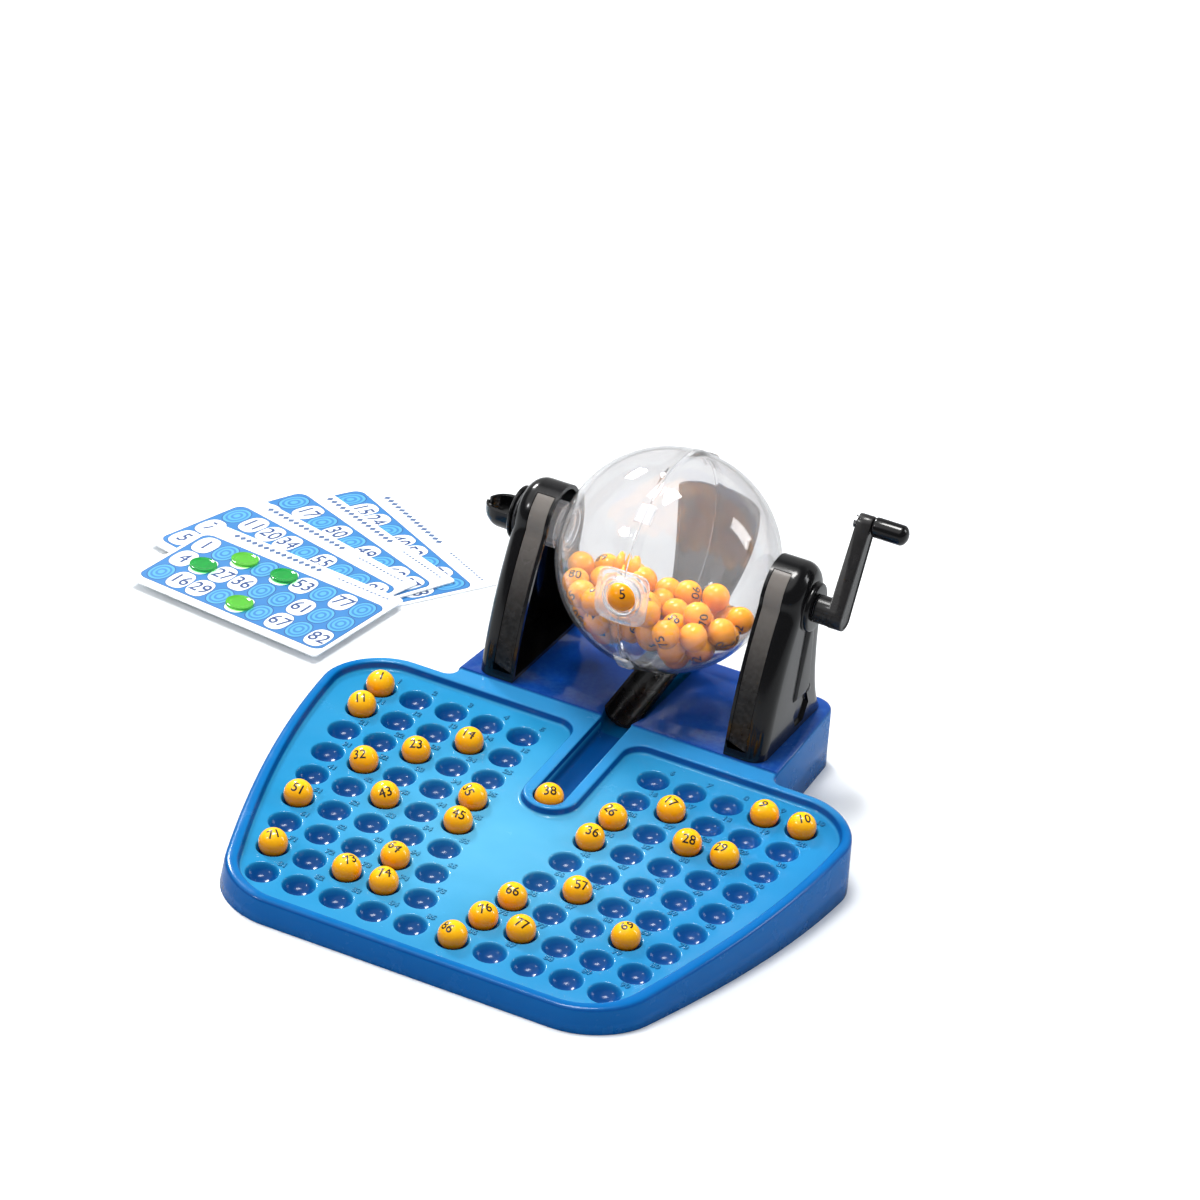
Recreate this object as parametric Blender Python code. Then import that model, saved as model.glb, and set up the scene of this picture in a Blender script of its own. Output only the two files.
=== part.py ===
# Bingo game: a tray with ninety ball pits, a clear globe turned by a crank, a ball chute,
# ninety balls, four cards and four chips. Metres, +Z up, +Y to the back, +X to the crank.
# The origin is on the table under the middle of the whole game.

import bmesh
import bpy
import numpy as np
from math import asin, acos, atan2, cos, hypot, pi, radians, sin, sqrt, tan
from mathutils import Matrix, Vector


# Tray: the pits, their spacing and the sloping floor
pit_columns = 5
pit_rows = 9
pit_pitch = 0.018
row_margin = 0.0167
inner_column_x = 0.0323
column_lean = 0.0028
column_bow = 0.0051
pit_radius = 0.0072
pit_depth = 0.005
pit_sides = 8
pit_base_radius_share = 0.45

tray_slope = radians(5)
floor_front_height = 0.0085
floor_back_half = 0.124
floor_front_half = 0.0873
floor_length = 0.183
row_pitch = (floor_length - 2 * row_margin) / (pit_rows - 1)
floor_side_bow = 0.0092
floor_back_corner = 0.020
floor_front_corner = 0.024
rim_height = 0.0036
rim_width = 0.0054
rim_draft = 0.0007
rim_rounding = 0.0012
skirt_draft = 0.0012
skirt_trim = 0.0006
shell_wall = 0.0014
corner_steps = 7
side_steps = 7

# Tongue of the tray that carries the ball channel
tongue_half = 0.0135
tongue_length = 0.0663
tongue_fillet = 0.009
channel_half = 0.0073
channel_front_wall = 0.0036
channel_depth = 0.0081
channel_draft = 0.0003
well_half = 0.0096
well_length = 0.062

# Deck that carries the stands
deck_height = 0.030
deck_step_run = 0.0006
deck_length = 0.0750
deck_front_half = 0.0795
deck_back_half = 0.0760
deck_corner = 0.010
deck_fillet = 0.005
corner_room_share = 0.75

# Globe and its place
axle_back = 0.0380
globe_radius = 0.051
globe_clearance = 0.0135
globe_wall = 0.0015
globe_sides = 24
globe_rings = 5
globe_seam_gap = 0.0003
seam_lip_width = 0.0032
seam_lip_height = 0.0009
hub_length = 0.0027

# Stands: the side outline is an arch over the axle and two curved flanks down to the foot
stand_clearance = 0.0015
stand_width = 0.0186
stand_wall = 0.002
stand_gap = 0.0003
stand_arch_radius = 0.0172
stand_arch_forward = 0.0015
stand_arch_rise = 0.003
stand_front_reach = 0.0376
stand_front_bend = 0.0345
stand_front_bend_drop = 0.0270
stand_back_reach = 0.0335
stand_back_bend = 0.0170
stand_back_bend_drop = 0.0480
stand_flank_steps = 7
stand_edge_rounding = 0.0042
stand_plan_corner = 0.007
panel_inset = 0.0007
panel_rounding = 0.003
panel_foot = 0.0085
panel_head = 0.0125
boss_radius = 0.0115
boss_height = 0.0022
spine_top_half = 0.0032
spine_base_half = 0.0080
spine_height = 0.0014
window_radius = 0.0085
window_depth = 0.0011
window_back = 0.003
window_height = 0.0105
peg_radius = 0.0022
peg_height = 0.0016
peg_back = 0.0065
peg_rise = 0.0205
tab_width = 0.009
tab_thickness = 0.0024
tab_drop = 0.0034
tab_hook = 0.0008
tab_spread = 0.0195

# Bearings, filler tube, crank
running_gap = 0.0003
bush_wall = 0.002
bush_flange = 0.0015
bush_flange_height = 0.0012
tube_bore = 0.0073
tube_wall = 0.0015
shaft_radius = 0.0038
shaft_socket_depth = 0.0025
crank_angle = radians(25.5)
crank_length = 0.042
arm_width = 0.0088
arm_thickness = 0.0072
arm_gap = 0.0068
crank_boss_radius = 0.0068
knob_radius = 0.0047
knob_length = 0.0165
knob_pin_radius = 0.0019
knob_pin_head_radius = 0.003
knob_pin_head_height = 0.0012
round_sides = 20
sleeve_sides = 16

# Loading cup on the left stand
cup_length = 0.017
cup_wall = 0.0014
cup_rise = 0.002
cup_sides = 8
cup_flange_radius = 0.0125
cup_flange_height = 0.0016

# Exit collar of the globe and the four seam clips
collar_bore = 0.0069
collar_wall = 0.0014
collar_length = 0.005
collar_rim = 0.0009
exit_angle = radians(4)
clip_angles_share = (0.133, 0.383, 0.633, 0.883)
clip_width = 0.0085
clip_length = 0.009
clip_height = 0.0014

# Chute under and behind the globe
chute_front_overlap = 0.0065
chute_slope = radians(9)
chute_bore = 0.0074
chute_wall = 0.0014
chute_drop = 0.0007
scoop_half = 0.0205
scoop_depth = 0.0085
scoop_top_angle = radians(9)
chute_line_steps = 4
scoop_steps = 7
chute_section_steps = 8
chute_leg_width = 0.020
chute_leg_thickness = 0.003
chute_leg_back = 0.030

# Balls
ball_diameter = 0.013
ball_seat_gap = 0.0003
ball_total = 90
tray_ball_numbers = (1, 11, 14, 23, 32, 35, 43, 45, 51, 64, 71, 73, 74,
                     9, 10, 17, 26, 28, 29, 36, 57, 66, 69, 76, 77, 86)
pile_wall_gap = 0.0017
heap_ball_growth_share = 1.17
pile_bite = 0.0009
pile_groove_gap = 0.0014
settle_steps = 1200
settle_step = 0.00022

# Cards and chips, loose on the table
card_length = 0.108
card_width = 0.073
card_thickness = 0.0009
card_gap = 0.0003
card_corner = 0.002
card_places = ((-0.205, 0.155), (-0.212, 0.185), (-0.202, 0.210), (-0.186, 0.228))
card_turns = (radians(-7), radians(-16), radians(-25), radians(-31))
cell_width = 0.0113
cell_height = 0.0178
panel_shift = 0.0035
chip_cells = ((-3, 0), (-2, 1), (0, 1), (0, -1))
chip_radius = 0.0066
chip_thickness = 0.0014
chip_sides = 16

# Shared allowances
overrun = 0.004
smooth_angle = radians(40)
bevel_share = 0.3

# Places worked out from the sizes above
ball_radius = ball_diameter / 2
axle_height = deck_height + globe_clearance + globe_radius
stand_inner_x = globe_radius + stand_clearance
floor_middle_y = shell_wall / 2 + rim_width + floor_length / 2 + skirt_draft
floor_front_y = floor_middle_y - floor_length / 2
floor_back_y = floor_middle_y + floor_length / 2
tray_back_y = floor_back_y + rim_width
step_y = tray_back_y + deck_fillet + deck_step_run
deck_back_y = step_y + deck_length
tongue_front = floor_back_y - tongue_length
axle_y = step_y + axle_back
stand_outer_x = stand_inner_x + stand_width
stand_middle_x = stand_inner_x + stand_width / 2
stand_foot_z = deck_height + stand_gap
tube_radius = tube_bore + tube_wall
globe_inner = globe_radius - globe_wall
hub_end_x = globe_radius + hub_length - globe_wall


def clear_scene():
    for thing in list(bpy.data.objects):
        bpy.data.objects.remove(thing, do_unlink=True)


def floor_height(y):
    return floor_front_height + (y - floor_front_y) * tan(tray_slope)


def rim_top(y):
    return floor_height(y) + rim_height


def make_material(name, colour, roughness, transmission=0.0, metallic=0.0):
    material = bpy.data.materials.new(name)
    material.use_nodes = True
    shader = material.node_tree.nodes["Principled BSDF"]
    shader.inputs["Base Color"].default_value = (*colour, 1.0)
    shader.inputs["Roughness"].default_value = roughness
    shader.inputs["Metallic"].default_value = metallic
    shader.inputs["Transmission Weight"].default_value = transmission
    material.diffuse_color = (*colour, 1.0)
    return material


def add_object(name, bm, material, origin=(0.0, 0.0, 0.0)):
    bmesh.ops.recalc_face_normals(bm, faces=bm.faces)
    bmesh.ops.translate(bm, verts=bm.verts, vec=-Vector(origin))
    mesh = bpy.data.meshes.new(name)
    bm.to_mesh(mesh)
    bm.free()
    mesh.materials.append(material)
    thing = bpy.data.objects.new(name, mesh)
    thing.location = origin
    bpy.context.collection.objects.link(thing)
    mesh.shade_smooth()
    mesh.set_sharp_from_angle(angle=smooth_angle)
    return thing


def add_cutter(name, bm):
    bmesh.ops.recalc_face_normals(bm, faces=bm.faces)
    mesh = bpy.data.meshes.new(name)
    bm.to_mesh(mesh)
    bm.free()
    cutter = bpy.data.objects.new(name, mesh)
    bpy.context.collection.objects.link(cutter)
    cutter.hide_render = True
    cutter.display_type = "WIRE"
    return cutter


def combine(thing, other, operation):
    modifier = thing.modifiers.new(operation.lower() + "_" + other.name, "BOOLEAN")
    modifier.operation = operation
    modifier.solver = "EXACT"
    modifier.object = other


def place_on_joint(thing, joint_empty):
    offset = joint_empty.matrix_world.inverted()
    thing.parent = joint_empty
    thing.matrix_parent_inverse = offset


def add_joint_empty(name, location):
    empty = bpy.data.objects.new(name, None)
    empty.location = location
    bpy.context.collection.objects.link(empty)
    bpy.context.view_layer.update()
    return empty


def bridge_rings(bm, lower, upper, closed=True):
    count = len(lower)
    last = count if closed else count - 1
    for index in range(last):
        after = (index + 1) % count
        bm.faces.new((lower[index], lower[after], upper[after], upper[index]))


def ring_of(bm, points):
    return [bm.verts.new(point) for point in points]


def circle_points(radius, sides, turn=0.0):
    step = 2 * pi / sides
    return [(radius * cos(turn + step * k), radius * sin(turn + step * k)) for k in range(sides)]


def along_x(points, x, centre_y, centre_z):
    return [(x, centre_y + across, centre_z + up) for across, up in points]


def lathe_x(bm, profile, sides, centre_y, centre_z):
    # profile: (x, radius) pairs from one end to the other; a closed solid round an X axis
    rings = []
    for x, radius in profile:
        rings.append(ring_of(bm, along_x(circle_points(radius, sides), x, centre_y, centre_z)))
    for lower, upper in zip(rings[:-1], rings[1:]):
        bridge_rings(bm, lower, upper)
    return rings


def solid_lathe_x(profile, sides=round_sides, centre=None):
    centre_y, centre_z = centre or (axle_y, axle_height)
    bm = bmesh.new()
    rings = lathe_x(bm, profile, sides, centre_y, centre_z)
    bm.faces.new(rings[0][::-1])
    bm.faces.new(rings[-1])
    return bm


def tube_lathe_x(outer, inner, sides=round_sides, centre=None):
    centre_y, centre_z = centre or (axle_y, axle_height)
    bm = bmesh.new()
    outer_rings = lathe_x(bm, outer, sides, centre_y, centre_z)
    inner_rings = lathe_x(bm, inner, sides, centre_y, centre_z)
    bridge_rings(bm, outer_rings[0], inner_rings[0])
    bridge_rings(bm, outer_rings[-1], inner_rings[-1])
    return bm


def prism_x(points, x_from, x_to):
    # a closed outline of (y, z) points drawn out along X
    bm = bmesh.new()
    near = ring_of(bm, [(x_from, y, z) for y, z in points])
    far = ring_of(bm, [(x_to, y, z) for y, z in points])
    bridge_rings(bm, near, far)
    bm.faces.new(near[::-1])
    bm.faces.new(far)
    return bm


def prism_z(points, z_from, z_to):
    bm = bmesh.new()
    low = ring_of(bm, [(x, y, z_from) for x, y in points])
    high = ring_of(bm, [(x, y, z_to) for x, y in points])
    bridge_rings(bm, low, high)
    bm.faces.new(low[::-1])
    bm.faces.new(high)
    return bm


def box_between(low, high):
    corners = [(low[0], low[1]), (high[0], low[1]), (high[0], high[1]), (low[0], high[1])]
    return prism_z(corners, low[2], high[2])


def join_bmesh(target, extra):
    mesh = bpy.data.meshes.new("joined")
    extra.to_mesh(mesh)
    extra.free()
    target.from_mesh(mesh)
    bpy.data.meshes.remove(mesh)
    return target


def arc_points(centre, radius, start, end, steps):
    points = []
    for index in range(steps + 1):
        angle = start + (end - start) * index / steps
        points.append((centre[0] + radius * cos(angle), centre[1] + radius * sin(angle)))
    return points


def round_corners(corners, steps):
    # corners: (x, y, radius); each corner of the closed outline is replaced by a tangent arc
    points = []
    count = len(corners)
    for index, (x, y, radius) in enumerate(corners):
        here = Vector((x, y))
        before = Vector(corners[index - 1][:2]) - here
        after = Vector(corners[(index + 1) % count][:2]) - here
        if radius <= 0:
            points.append((x, y))
            continue
        half = before.angle(after) / 2
        reach = radius / tan(half)
        centre = here + (before.normalized() + after.normalized()).normalized() * (radius / sin(half))
        first = here + before.normalized() * reach - centre
        last = here + after.normalized() * reach - centre
        start = atan2(first.y, first.x)
        sweep = (atan2(last.y, last.x) - start + pi) % (2 * pi) - pi
        points += arc_points(centre, radius, start, start + sweep, steps)
    return points


def offset_loop(points, distance):
    # moves a counter-clockwise outline outwards, each corner along its mitre
    moved = []
    count = len(points)
    for index in range(count):
        here = Vector(points[index])
        before = (here - Vector(points[index - 1])).normalized()
        after = (Vector(points[(index + 1) % count]) - here).normalized()
        normal_before = Vector((before.y, -before.x))
        normal_after = Vector((after.y, -after.x))
        mitre = (normal_before + normal_after).normalized()
        reach = distance / mitre.dot(normal_after)
        moved.append(tuple(here + mitre * reach))
    return moved


# The tray: plan outlines first, then one moulded skin that Solidify thickens

def bow_side(point, half_length):
    x, y = point
    middle_half = (floor_back_half + floor_front_half) / 2
    share = 1 - ((y - floor_middle_y) / half_length) ** 2
    return (x * (1 + floor_side_bow / middle_half * max(share, 0.0)), y)


def side_points(front, back, steps):
    return [(front[0] + (back[0] - front[0]) * k / steps, front[1] + (back[1] - front[1]) * k / steps)
            for k in range(1, steps)]


def mirrored(right_half):
    # a right half that runs from the front middle to the back middle becomes a closed loop
    left_half = [(-x, y) for x, y in reversed(right_half) if x > running_gap / 2]
    return right_half + left_half


def tray_corner_list(grow):
    half_length = floor_length / 2 + grow
    front = (floor_front_half + grow, floor_middle_y - half_length)
    back = (floor_back_half + grow, floor_middle_y + half_length)
    return front, back


def tray_right_side(grow):
    # from the front middle round the front corner, up the side and round the back corner
    front, back = tray_corner_list(grow)
    beside_deck = floor_back_half - deck_front_half - deck_fillet
    back_corner = min(floor_back_corner, beside_deck * corner_room_share)
    outline = round_corners([(0.0, front[1], 0.0), (*front, floor_front_corner + grow),
                             (*back, back_corner + grow), (0.0, back[1], 0.0)], corner_steps)
    corner_count = corner_steps + 1
    front_corner = outline[1:1 + corner_count]
    back_corner = outline[1 + corner_count:1 + 2 * corner_count]
    middle = side_points(front_corner[-1], back_corner[0], side_steps)
    points = [outline[0]] + front_corner + middle + back_corner
    return [bow_side(point, floor_length / 2 + grow) for point in points]


def floor_outline():
    right = tray_right_side(0.0)
    # the back edge turns forwards along the tongue and round its front end
    fillet_x = tongue_half + tongue_fillet
    fillet = arc_points((fillet_x, floor_back_y - tongue_fillet), tongue_fillet,
                        pi / 2, pi, corner_steps - 2)
    nose = arc_points((0.0, tongue_front + tongue_half), tongue_half, 0.0, -pi / 2, corner_steps - 1)
    return mirrored(right + fillet + nose)


def rim_outline():
    # the outside of the tray and of the deck as one outline, at the height of the rim
    right = tray_right_side(rim_width)
    concave = (deck_front_half + deck_fillet, tray_back_y + deck_fillet)
    fillet = arc_points(concave, deck_fillet, -pi / 2, -pi, corner_steps - 2)
    deck = [(deck_front_half, step_y), (deck_front_half, step_y + deck_step_run)]
    lean = (deck_front_half - deck_back_half) / deck_length
    fillet = [(x, y) for x, y in fillet if y < step_y - deck_step_run]
    corner_front_y = deck_back_y - deck_corner
    corner_x = deck_front_half - lean * (corner_front_y - step_y)
    corner = arc_points((corner_x - deck_corner, corner_front_y), deck_corner, 0.0, pi / 2, corner_steps - 3)
    return mirrored(right + fillet + deck + corner + [(0.0, deck_back_y)])


def channel_outline():
    # the slot in the tongue, and the wider well under the end of the chute
    nose = arc_points((0.0, tongue_front + channel_front_wall + channel_half), channel_half,
                      -pi / 2, 0.0, corner_steps - 2)
    well_start = step_y + deck_step_run
    right = nose + [(channel_half, step_y), (channel_half, well_start), (well_half, well_start + well_half),
                    (well_half, well_start + well_length), (0.0, well_start + well_length)]
    return mirrored(right)


def top_height(point):
    if point[1] > step_y + deck_step_run / 2:
        return deck_height
    return rim_top(point[1])


def pit_centre(side, column, row):
    mid_row = (pit_rows - 1) / 2
    bow_share = 1 - ((row - mid_row) / mid_row) ** 2
    x = inner_column_x + column * pit_pitch - row * column_lean + column_bow * bow_share
    y = floor_middle_y - (row - mid_row) * row_pitch
    return (side * x, y)


def all_pits():
    pits = []
    for row in range(pit_rows):
        for column in range(pit_columns):
            pits.append(pit_centre(-1, pit_columns - 1 - column, row))
        for column in range(pit_columns):
            pits.append(pit_centre(1, column, row))
    return pits


def fill_between(bm, rings):
    edges = []
    for ring in rings:
        for index, vertex in enumerate(ring):
            edge = bm.edges.get((vertex, ring[(index + 1) % len(ring)]))
            if edge is None:
                edge = bm.edges.new((vertex, ring[(index + 1) % len(ring)]))
            edges.append(edge)
    filled = bmesh.ops.triangle_fill(bm, edges=edges, use_beauty=True, use_dissolve=False)
    return [item for item in filled["geom"] if isinstance(item, bmesh.types.BMFace)]


def build_pits(bm):
    rims = []
    for x, y in all_pits():
        rings = []
        levels = ((1.0, 0.0), (pit_base_radius_share, 1.0))
        for radius_share, depth_share in levels:
            corners = circle_points(pit_radius * radius_share, pit_sides, pi / pit_sides)
            rings.append(ring_of(bm, [(x + dx, y + dy, floor_height(y + dy) - pit_depth * depth_share)
                                      for dx, dy in corners]))
        bridge_rings(bm, rings[0], rings[1])
        bm.faces.new(rings[1])
        rims.append(rings[0])
    return rims


def build_tray_skin():
    bm = bmesh.new()
    floor_loop = floor_outline()
    floor_ring = ring_of(bm, [(x, y, floor_height(y)) for x, y in floor_loop])
    lip_loop = offset_loop(floor_loop, rim_draft)
    lip_ring = ring_of(bm, [(x, y, rim_top(y)) for x, y in lip_loop])
    bridge_rings(bm, floor_ring, lip_ring)
    fill_between(bm, [floor_ring] + build_pits(bm))

    outer_loop = rim_outline()
    inset_loop = offset_loop(outer_loop, -rim_rounding)
    heights = [top_height(point) for point in outer_loop]
    top_ring = ring_of(bm, [(x, y, z) for (x, y), z in zip(inset_loop, heights)])
    edge_ring = ring_of(bm, [(x, y, z - rim_rounding) for (x, y), z in zip(outer_loop, heights)])
    foot_loop = offset_loop(outer_loop, skirt_draft)
    foot_ring = ring_of(bm, [(x, y, -skirt_trim) for x, y in foot_loop])
    bridge_rings(bm, top_ring, edge_ring)
    bridge_rings(bm, edge_ring, foot_ring)

    slot_loop = channel_outline()
    slot_ring = ring_of(bm, [(*point, top_height(point)) for point in slot_loop])
    bed_loop = offset_loop(slot_loop, -channel_draft)
    bed_ring = ring_of(bm, [(x, y, rim_top(y) - channel_depth) for x, y in bed_loop])
    bridge_rings(bm, slot_ring, bed_ring)
    bm.faces.new(bed_ring)

    # the land round the floor lies in the sloping plane, the deck is level, a riser joins them
    outer_low = [v for v in top_ring if v.co.y < step_y + deck_step_run / 2]
    outer_high = [v for v in top_ring if v.co.y > step_y + deck_step_run / 2]
    slot_low = [v for v in slot_ring if v.co.y < step_y + deck_step_run / 2]
    slot_high = [v for v in slot_ring if v.co.y > step_y + deck_step_run / 2]
    fill_between(bm, [lip_ring, turned_to_step(outer_low) + turned_to_step(slot_low)[::-1]])
    fill_between(bm, [turned_to_step(outer_high) + turned_to_step(slot_high)[::-1]])
    low_outer_ends = step_ends(outer_low)
    low_slot_ends = step_ends(slot_low)
    high_outer_ends = step_ends(outer_high)
    high_slot_ends = step_ends(slot_high)
    for side in (0, 1):
        bm.faces.new((low_outer_ends[side], low_slot_ends[side],
                      high_slot_ends[side], high_outer_ends[side]))
    bmesh.ops.recalc_face_normals(bm, faces=bm.faces)
    bm.faces.ensure_lookup_table()
    flat_faces = [face for face in bm.faces if abs(face.normal.z) > 1 - bevel_share]
    if sum(face.normal.z * face.calc_area() for face in flat_faces) < 0:
        bmesh.ops.reverse_faces(bm, faces=bm.faces)
    return bm


def step_ends(vertices):
    # the two vertices of a part ring that lie on the step line, left first
    near = sorted(vertices, key=lambda v: abs(v.co.y - step_y))[:2]
    return sorted(near, key=lambda v: v.co.x)


def turned_to_step(vertices):
    # an open run of a ring, turned so that it starts and ends on the step line
    left, right = step_ends(vertices)
    first = vertices.index(left)
    second = vertices.index(right)
    count = len(vertices)
    if (first + 1) % count == second:
        start = second
    else:
        start = first
    return [vertices[(start + k) % count] for k in range(count)]


def build_base_tray(material):
    bm = build_tray_skin()
    mesh = bpy.data.meshes.new("base_tray")
    bm.to_mesh(mesh)
    bm.free()
    mesh.materials.append(material)
    tray = bpy.data.objects.new("base_tray", mesh)
    bpy.context.collection.objects.link(tray)
    solidify = tray.modifiers.new("wall", "SOLIDIFY")
    solidify.thickness = shell_wall
    solidify.offset = -1
    solidify.use_even_offset = True
    mesh.shade_smooth()
    mesh.set_sharp_from_angle(angle=smooth_angle)
    slots = bmesh.new()
    for x, y in tab_places():
        half_x = tab_thickness / 2 + stand_gap
        half_y = tab_width / 2 + stand_gap
        join_bmesh(slots, box_between((x - half_x, y - half_y, deck_height - shell_wall - overrun),
                                      (x + half_x, y + half_y, deck_height + overrun)))
    combine(tray, add_cutter("tab_slots", slots), "DIFFERENCE")
    reach = floor_back_half + deck_length
    table = box_between((-reach, -reach, -reach), (reach, deck_back_y + reach, 0.0))
    combine(tray, add_cutter("table_trim", table), "DIFFERENCE")
    return tray


# Stands

def tab_places():
    return [(side * stand_middle_x, axle_y + end * tab_spread) for side in (-1, 1) for end in (-1, 1)]


def curve_points(start, bend, end, steps):
    # a quadratic curve from start to end that leans towards bend
    points = []
    for k in range(steps + 1):
        share = k / steps
        rest = 1 - share
        points.append(tuple(rest * rest * a + 2 * rest * share * b + share * share * c
                            for a, b, c in zip(start, bend, end)))
    return points


def stand_flank(direction):
    # from the arch down to the foot, in front (-1) or behind (+1)
    reach = stand_front_reach if direction < 0 else stand_back_reach
    bend = stand_front_bend if direction < 0 else stand_back_bend
    drop = stand_front_bend_drop if direction < 0 else stand_back_bend_drop
    start = (axle_y - stand_arch_forward + direction * stand_arch_radius, axle_height + stand_arch_rise)
    return curve_points(start, (axle_y + direction * bend, axle_height - drop),
                        (axle_y + direction * reach, stand_foot_z), stand_flank_steps)


def stand_profile():
    back = stand_flank(1)
    front = stand_flank(-1)
    centre = (axle_y - stand_arch_forward, axle_height + stand_arch_rise)
    arch = arc_points(centre, stand_arch_radius, 0.0, pi, corner_steps + 1)
    return back[:0:-1] + arch + front[1:]


def build_panel_cutter(side):
    # a shallow band set into the front flank
    low = deck_height + panel_foot
    high = axle_height + panel_head - stand_arch_radius
    flank = [point for point in stand_flank(-1) if low < point[1] < high]
    loop = flank + [(y - overrun, z) for y, z in reversed(flank)]
    inset = [(y + panel_inset, z) for y, z in flank] + loop[len(flank):]
    inner = stand_inner_x + stand_wall
    outer = stand_outer_x - stand_edge_rounding - panel_inset
    return prism_x(inset, side * inner, side * outer)


def build_stand(name, side, bore_radius, material):
    inner_x = side * stand_inner_x
    outer_x = side * stand_outer_x
    profile = stand_profile()
    bm = prism_x(profile, inner_x, outer_x)
    rim_edges = [edge for edge in bm.edges
                 if all(abs(v.co.x - outer_x) < stand_gap for v in edge.verts)
                 and any(v.co.z > stand_foot_z + stand_gap for v in edge.verts)]
    bmesh.ops.bevel(bm, geom=rim_edges, offset=stand_edge_rounding, segments=3, profile=0.5,
                    affect="EDGES", clamp_overlap=True)
    stand = add_object(name, bm, material)

    front_y = axle_y - stand_front_reach - overrun
    back_y = axle_y + stand_back_reach + overrun
    foot_front_y = axle_y - stand_front_reach
    foot_back_y = axle_y + stand_back_reach
    plan = round_corners([(inner_x - side * overrun, front_y, 0.0), (inner_x - side * overrun, back_y, 0.0),
                          (outer_x, foot_back_y, stand_plan_corner), (outer_x, foot_front_y, stand_plan_corner)],
                         corner_steps - 2)
    plan_prism = prism_z(plan, stand_foot_z - overrun, axle_height + stand_arch_radius + overrun)
    combine(stand, add_cutter(name + "_plan", plan_prism), "INTERSECT")
    hollow = prism_x(offset_loop(profile, -stand_wall), inner_x - side * overrun, outer_x - side * stand_wall)
    combine(stand, add_cutter(name + "_hollow", hollow), "DIFFERENCE")
    combine(stand, add_cutter(name + "_panel", build_panel_cutter(side)), "DIFFERENCE")
    combine(stand, add_cutter(name + "_spine", build_spine(side)), "UNION")
    combine(stand, add_cutter(name + "_boss", build_boss(side)), "UNION")
    combine(stand, add_cutter(name + "_window", build_window(side)), "DIFFERENCE")
    combine(stand, add_cutter(name + "_peg", build_peg(side)), "UNION")
    combine(stand, add_cutter(name + "_tabs", build_tabs(side)), "UNION")
    bore = solid_lathe_x([(inner_x - side * overrun, bore_radius),
                          (outer_x + side * (boss_height + overrun), bore_radius)])
    combine(stand, add_cutter(name + "_bore", bore), "DIFFERENCE")
    return stand


def build_tabs(side):
    # snap tabs that pass through the deck and hook under it
    hook_top = deck_height - shell_wall - stand_gap
    foot = hook_top - tab_drop
    bm = bmesh.new()
    for x, y in tab_places():
        if x * side > 0:
            near = x - side * tab_thickness / 2
            far = x + side * tab_thickness / 2
            tip = far + side * tab_hook
            section = [(near, foot), (far, foot), (tip, foot + tab_drop / 2), (tip, hook_top), (far, hook_top),
                       (far, stand_foot_z + stand_wall / 2), (near, stand_foot_z + stand_wall / 2)]
            tab = bmesh.new()
            ends = [ring_of(tab, [(a, y + end * tab_width / 2, b) for a, b in section]) for end in (-1, 1)]
            bridge_rings(tab, ends[0], ends[1])
            tab.faces.new(ends[0][::-1])
            tab.faces.new(ends[1])
            bmesh.ops.recalc_face_normals(tab, faces=tab.faces)
            join_bmesh(bm, tab)
    return bm


def build_boss(side):
    # the bearing boss on the outer face
    sunk_x = side * (stand_outer_x - stand_wall / 2)
    boss_x = side * (stand_outer_x + boss_height)
    return solid_lathe_x([(sunk_x, boss_radius), (boss_x - side * boss_height / 2, boss_radius),
                          (boss_x, boss_radius - boss_height / 2)])


def build_spine(side):
    # the spine that widens downwards from the boss
    sunk_x = side * (stand_outer_x - stand_wall / 2)
    spine_top_z = axle_height - boss_radius / 2
    spine_base_z = deck_height + window_height + window_radius
    raised_x = side * (stand_outer_x + spine_height)
    bm = bmesh.new()
    base = ring_of(bm, [(sunk_x, axle_y - spine_base_half, spine_base_z),
                        (sunk_x, axle_y + spine_base_half, spine_base_z),
                        (sunk_x, axle_y + spine_top_half, spine_top_z),
                        (sunk_x, axle_y - spine_top_half, spine_top_z)])
    ridge = ring_of(bm, [(raised_x, axle_y - spine_base_half + spine_height, spine_base_z + spine_height),
                         (raised_x, axle_y + spine_base_half - spine_height, spine_base_z + spine_height),
                         (raised_x, axle_y + spine_top_half - spine_height, spine_top_z),
                         (raised_x, axle_y - spine_top_half + spine_height, spine_top_z)])
    bridge_rings(bm, base, ridge)
    bm.faces.new(base[::-1])
    bm.faces.new(ridge)
    return bm


def build_window(side):
    # a six-sided recess low on the outer face
    centre = (axle_y + window_back, deck_height + window_height)
    return solid_lathe_x([(side * (stand_outer_x - window_depth), window_radius),
                          (side * (stand_outer_x + overrun), window_radius)], 6, centre)


def build_peg(side):
    # the small round boss over the recess
    centre = (axle_y + peg_back, deck_height + peg_rise)
    return solid_lathe_x([(side * (stand_outer_x - stand_wall / 2), peg_radius),
                          (side * (stand_outer_x + peg_height / 2), peg_radius),
                          (side * (stand_outer_x + peg_height), peg_radius / 2)], pit_sides, centre)


# Bearings, filler tube and loading cup

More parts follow.
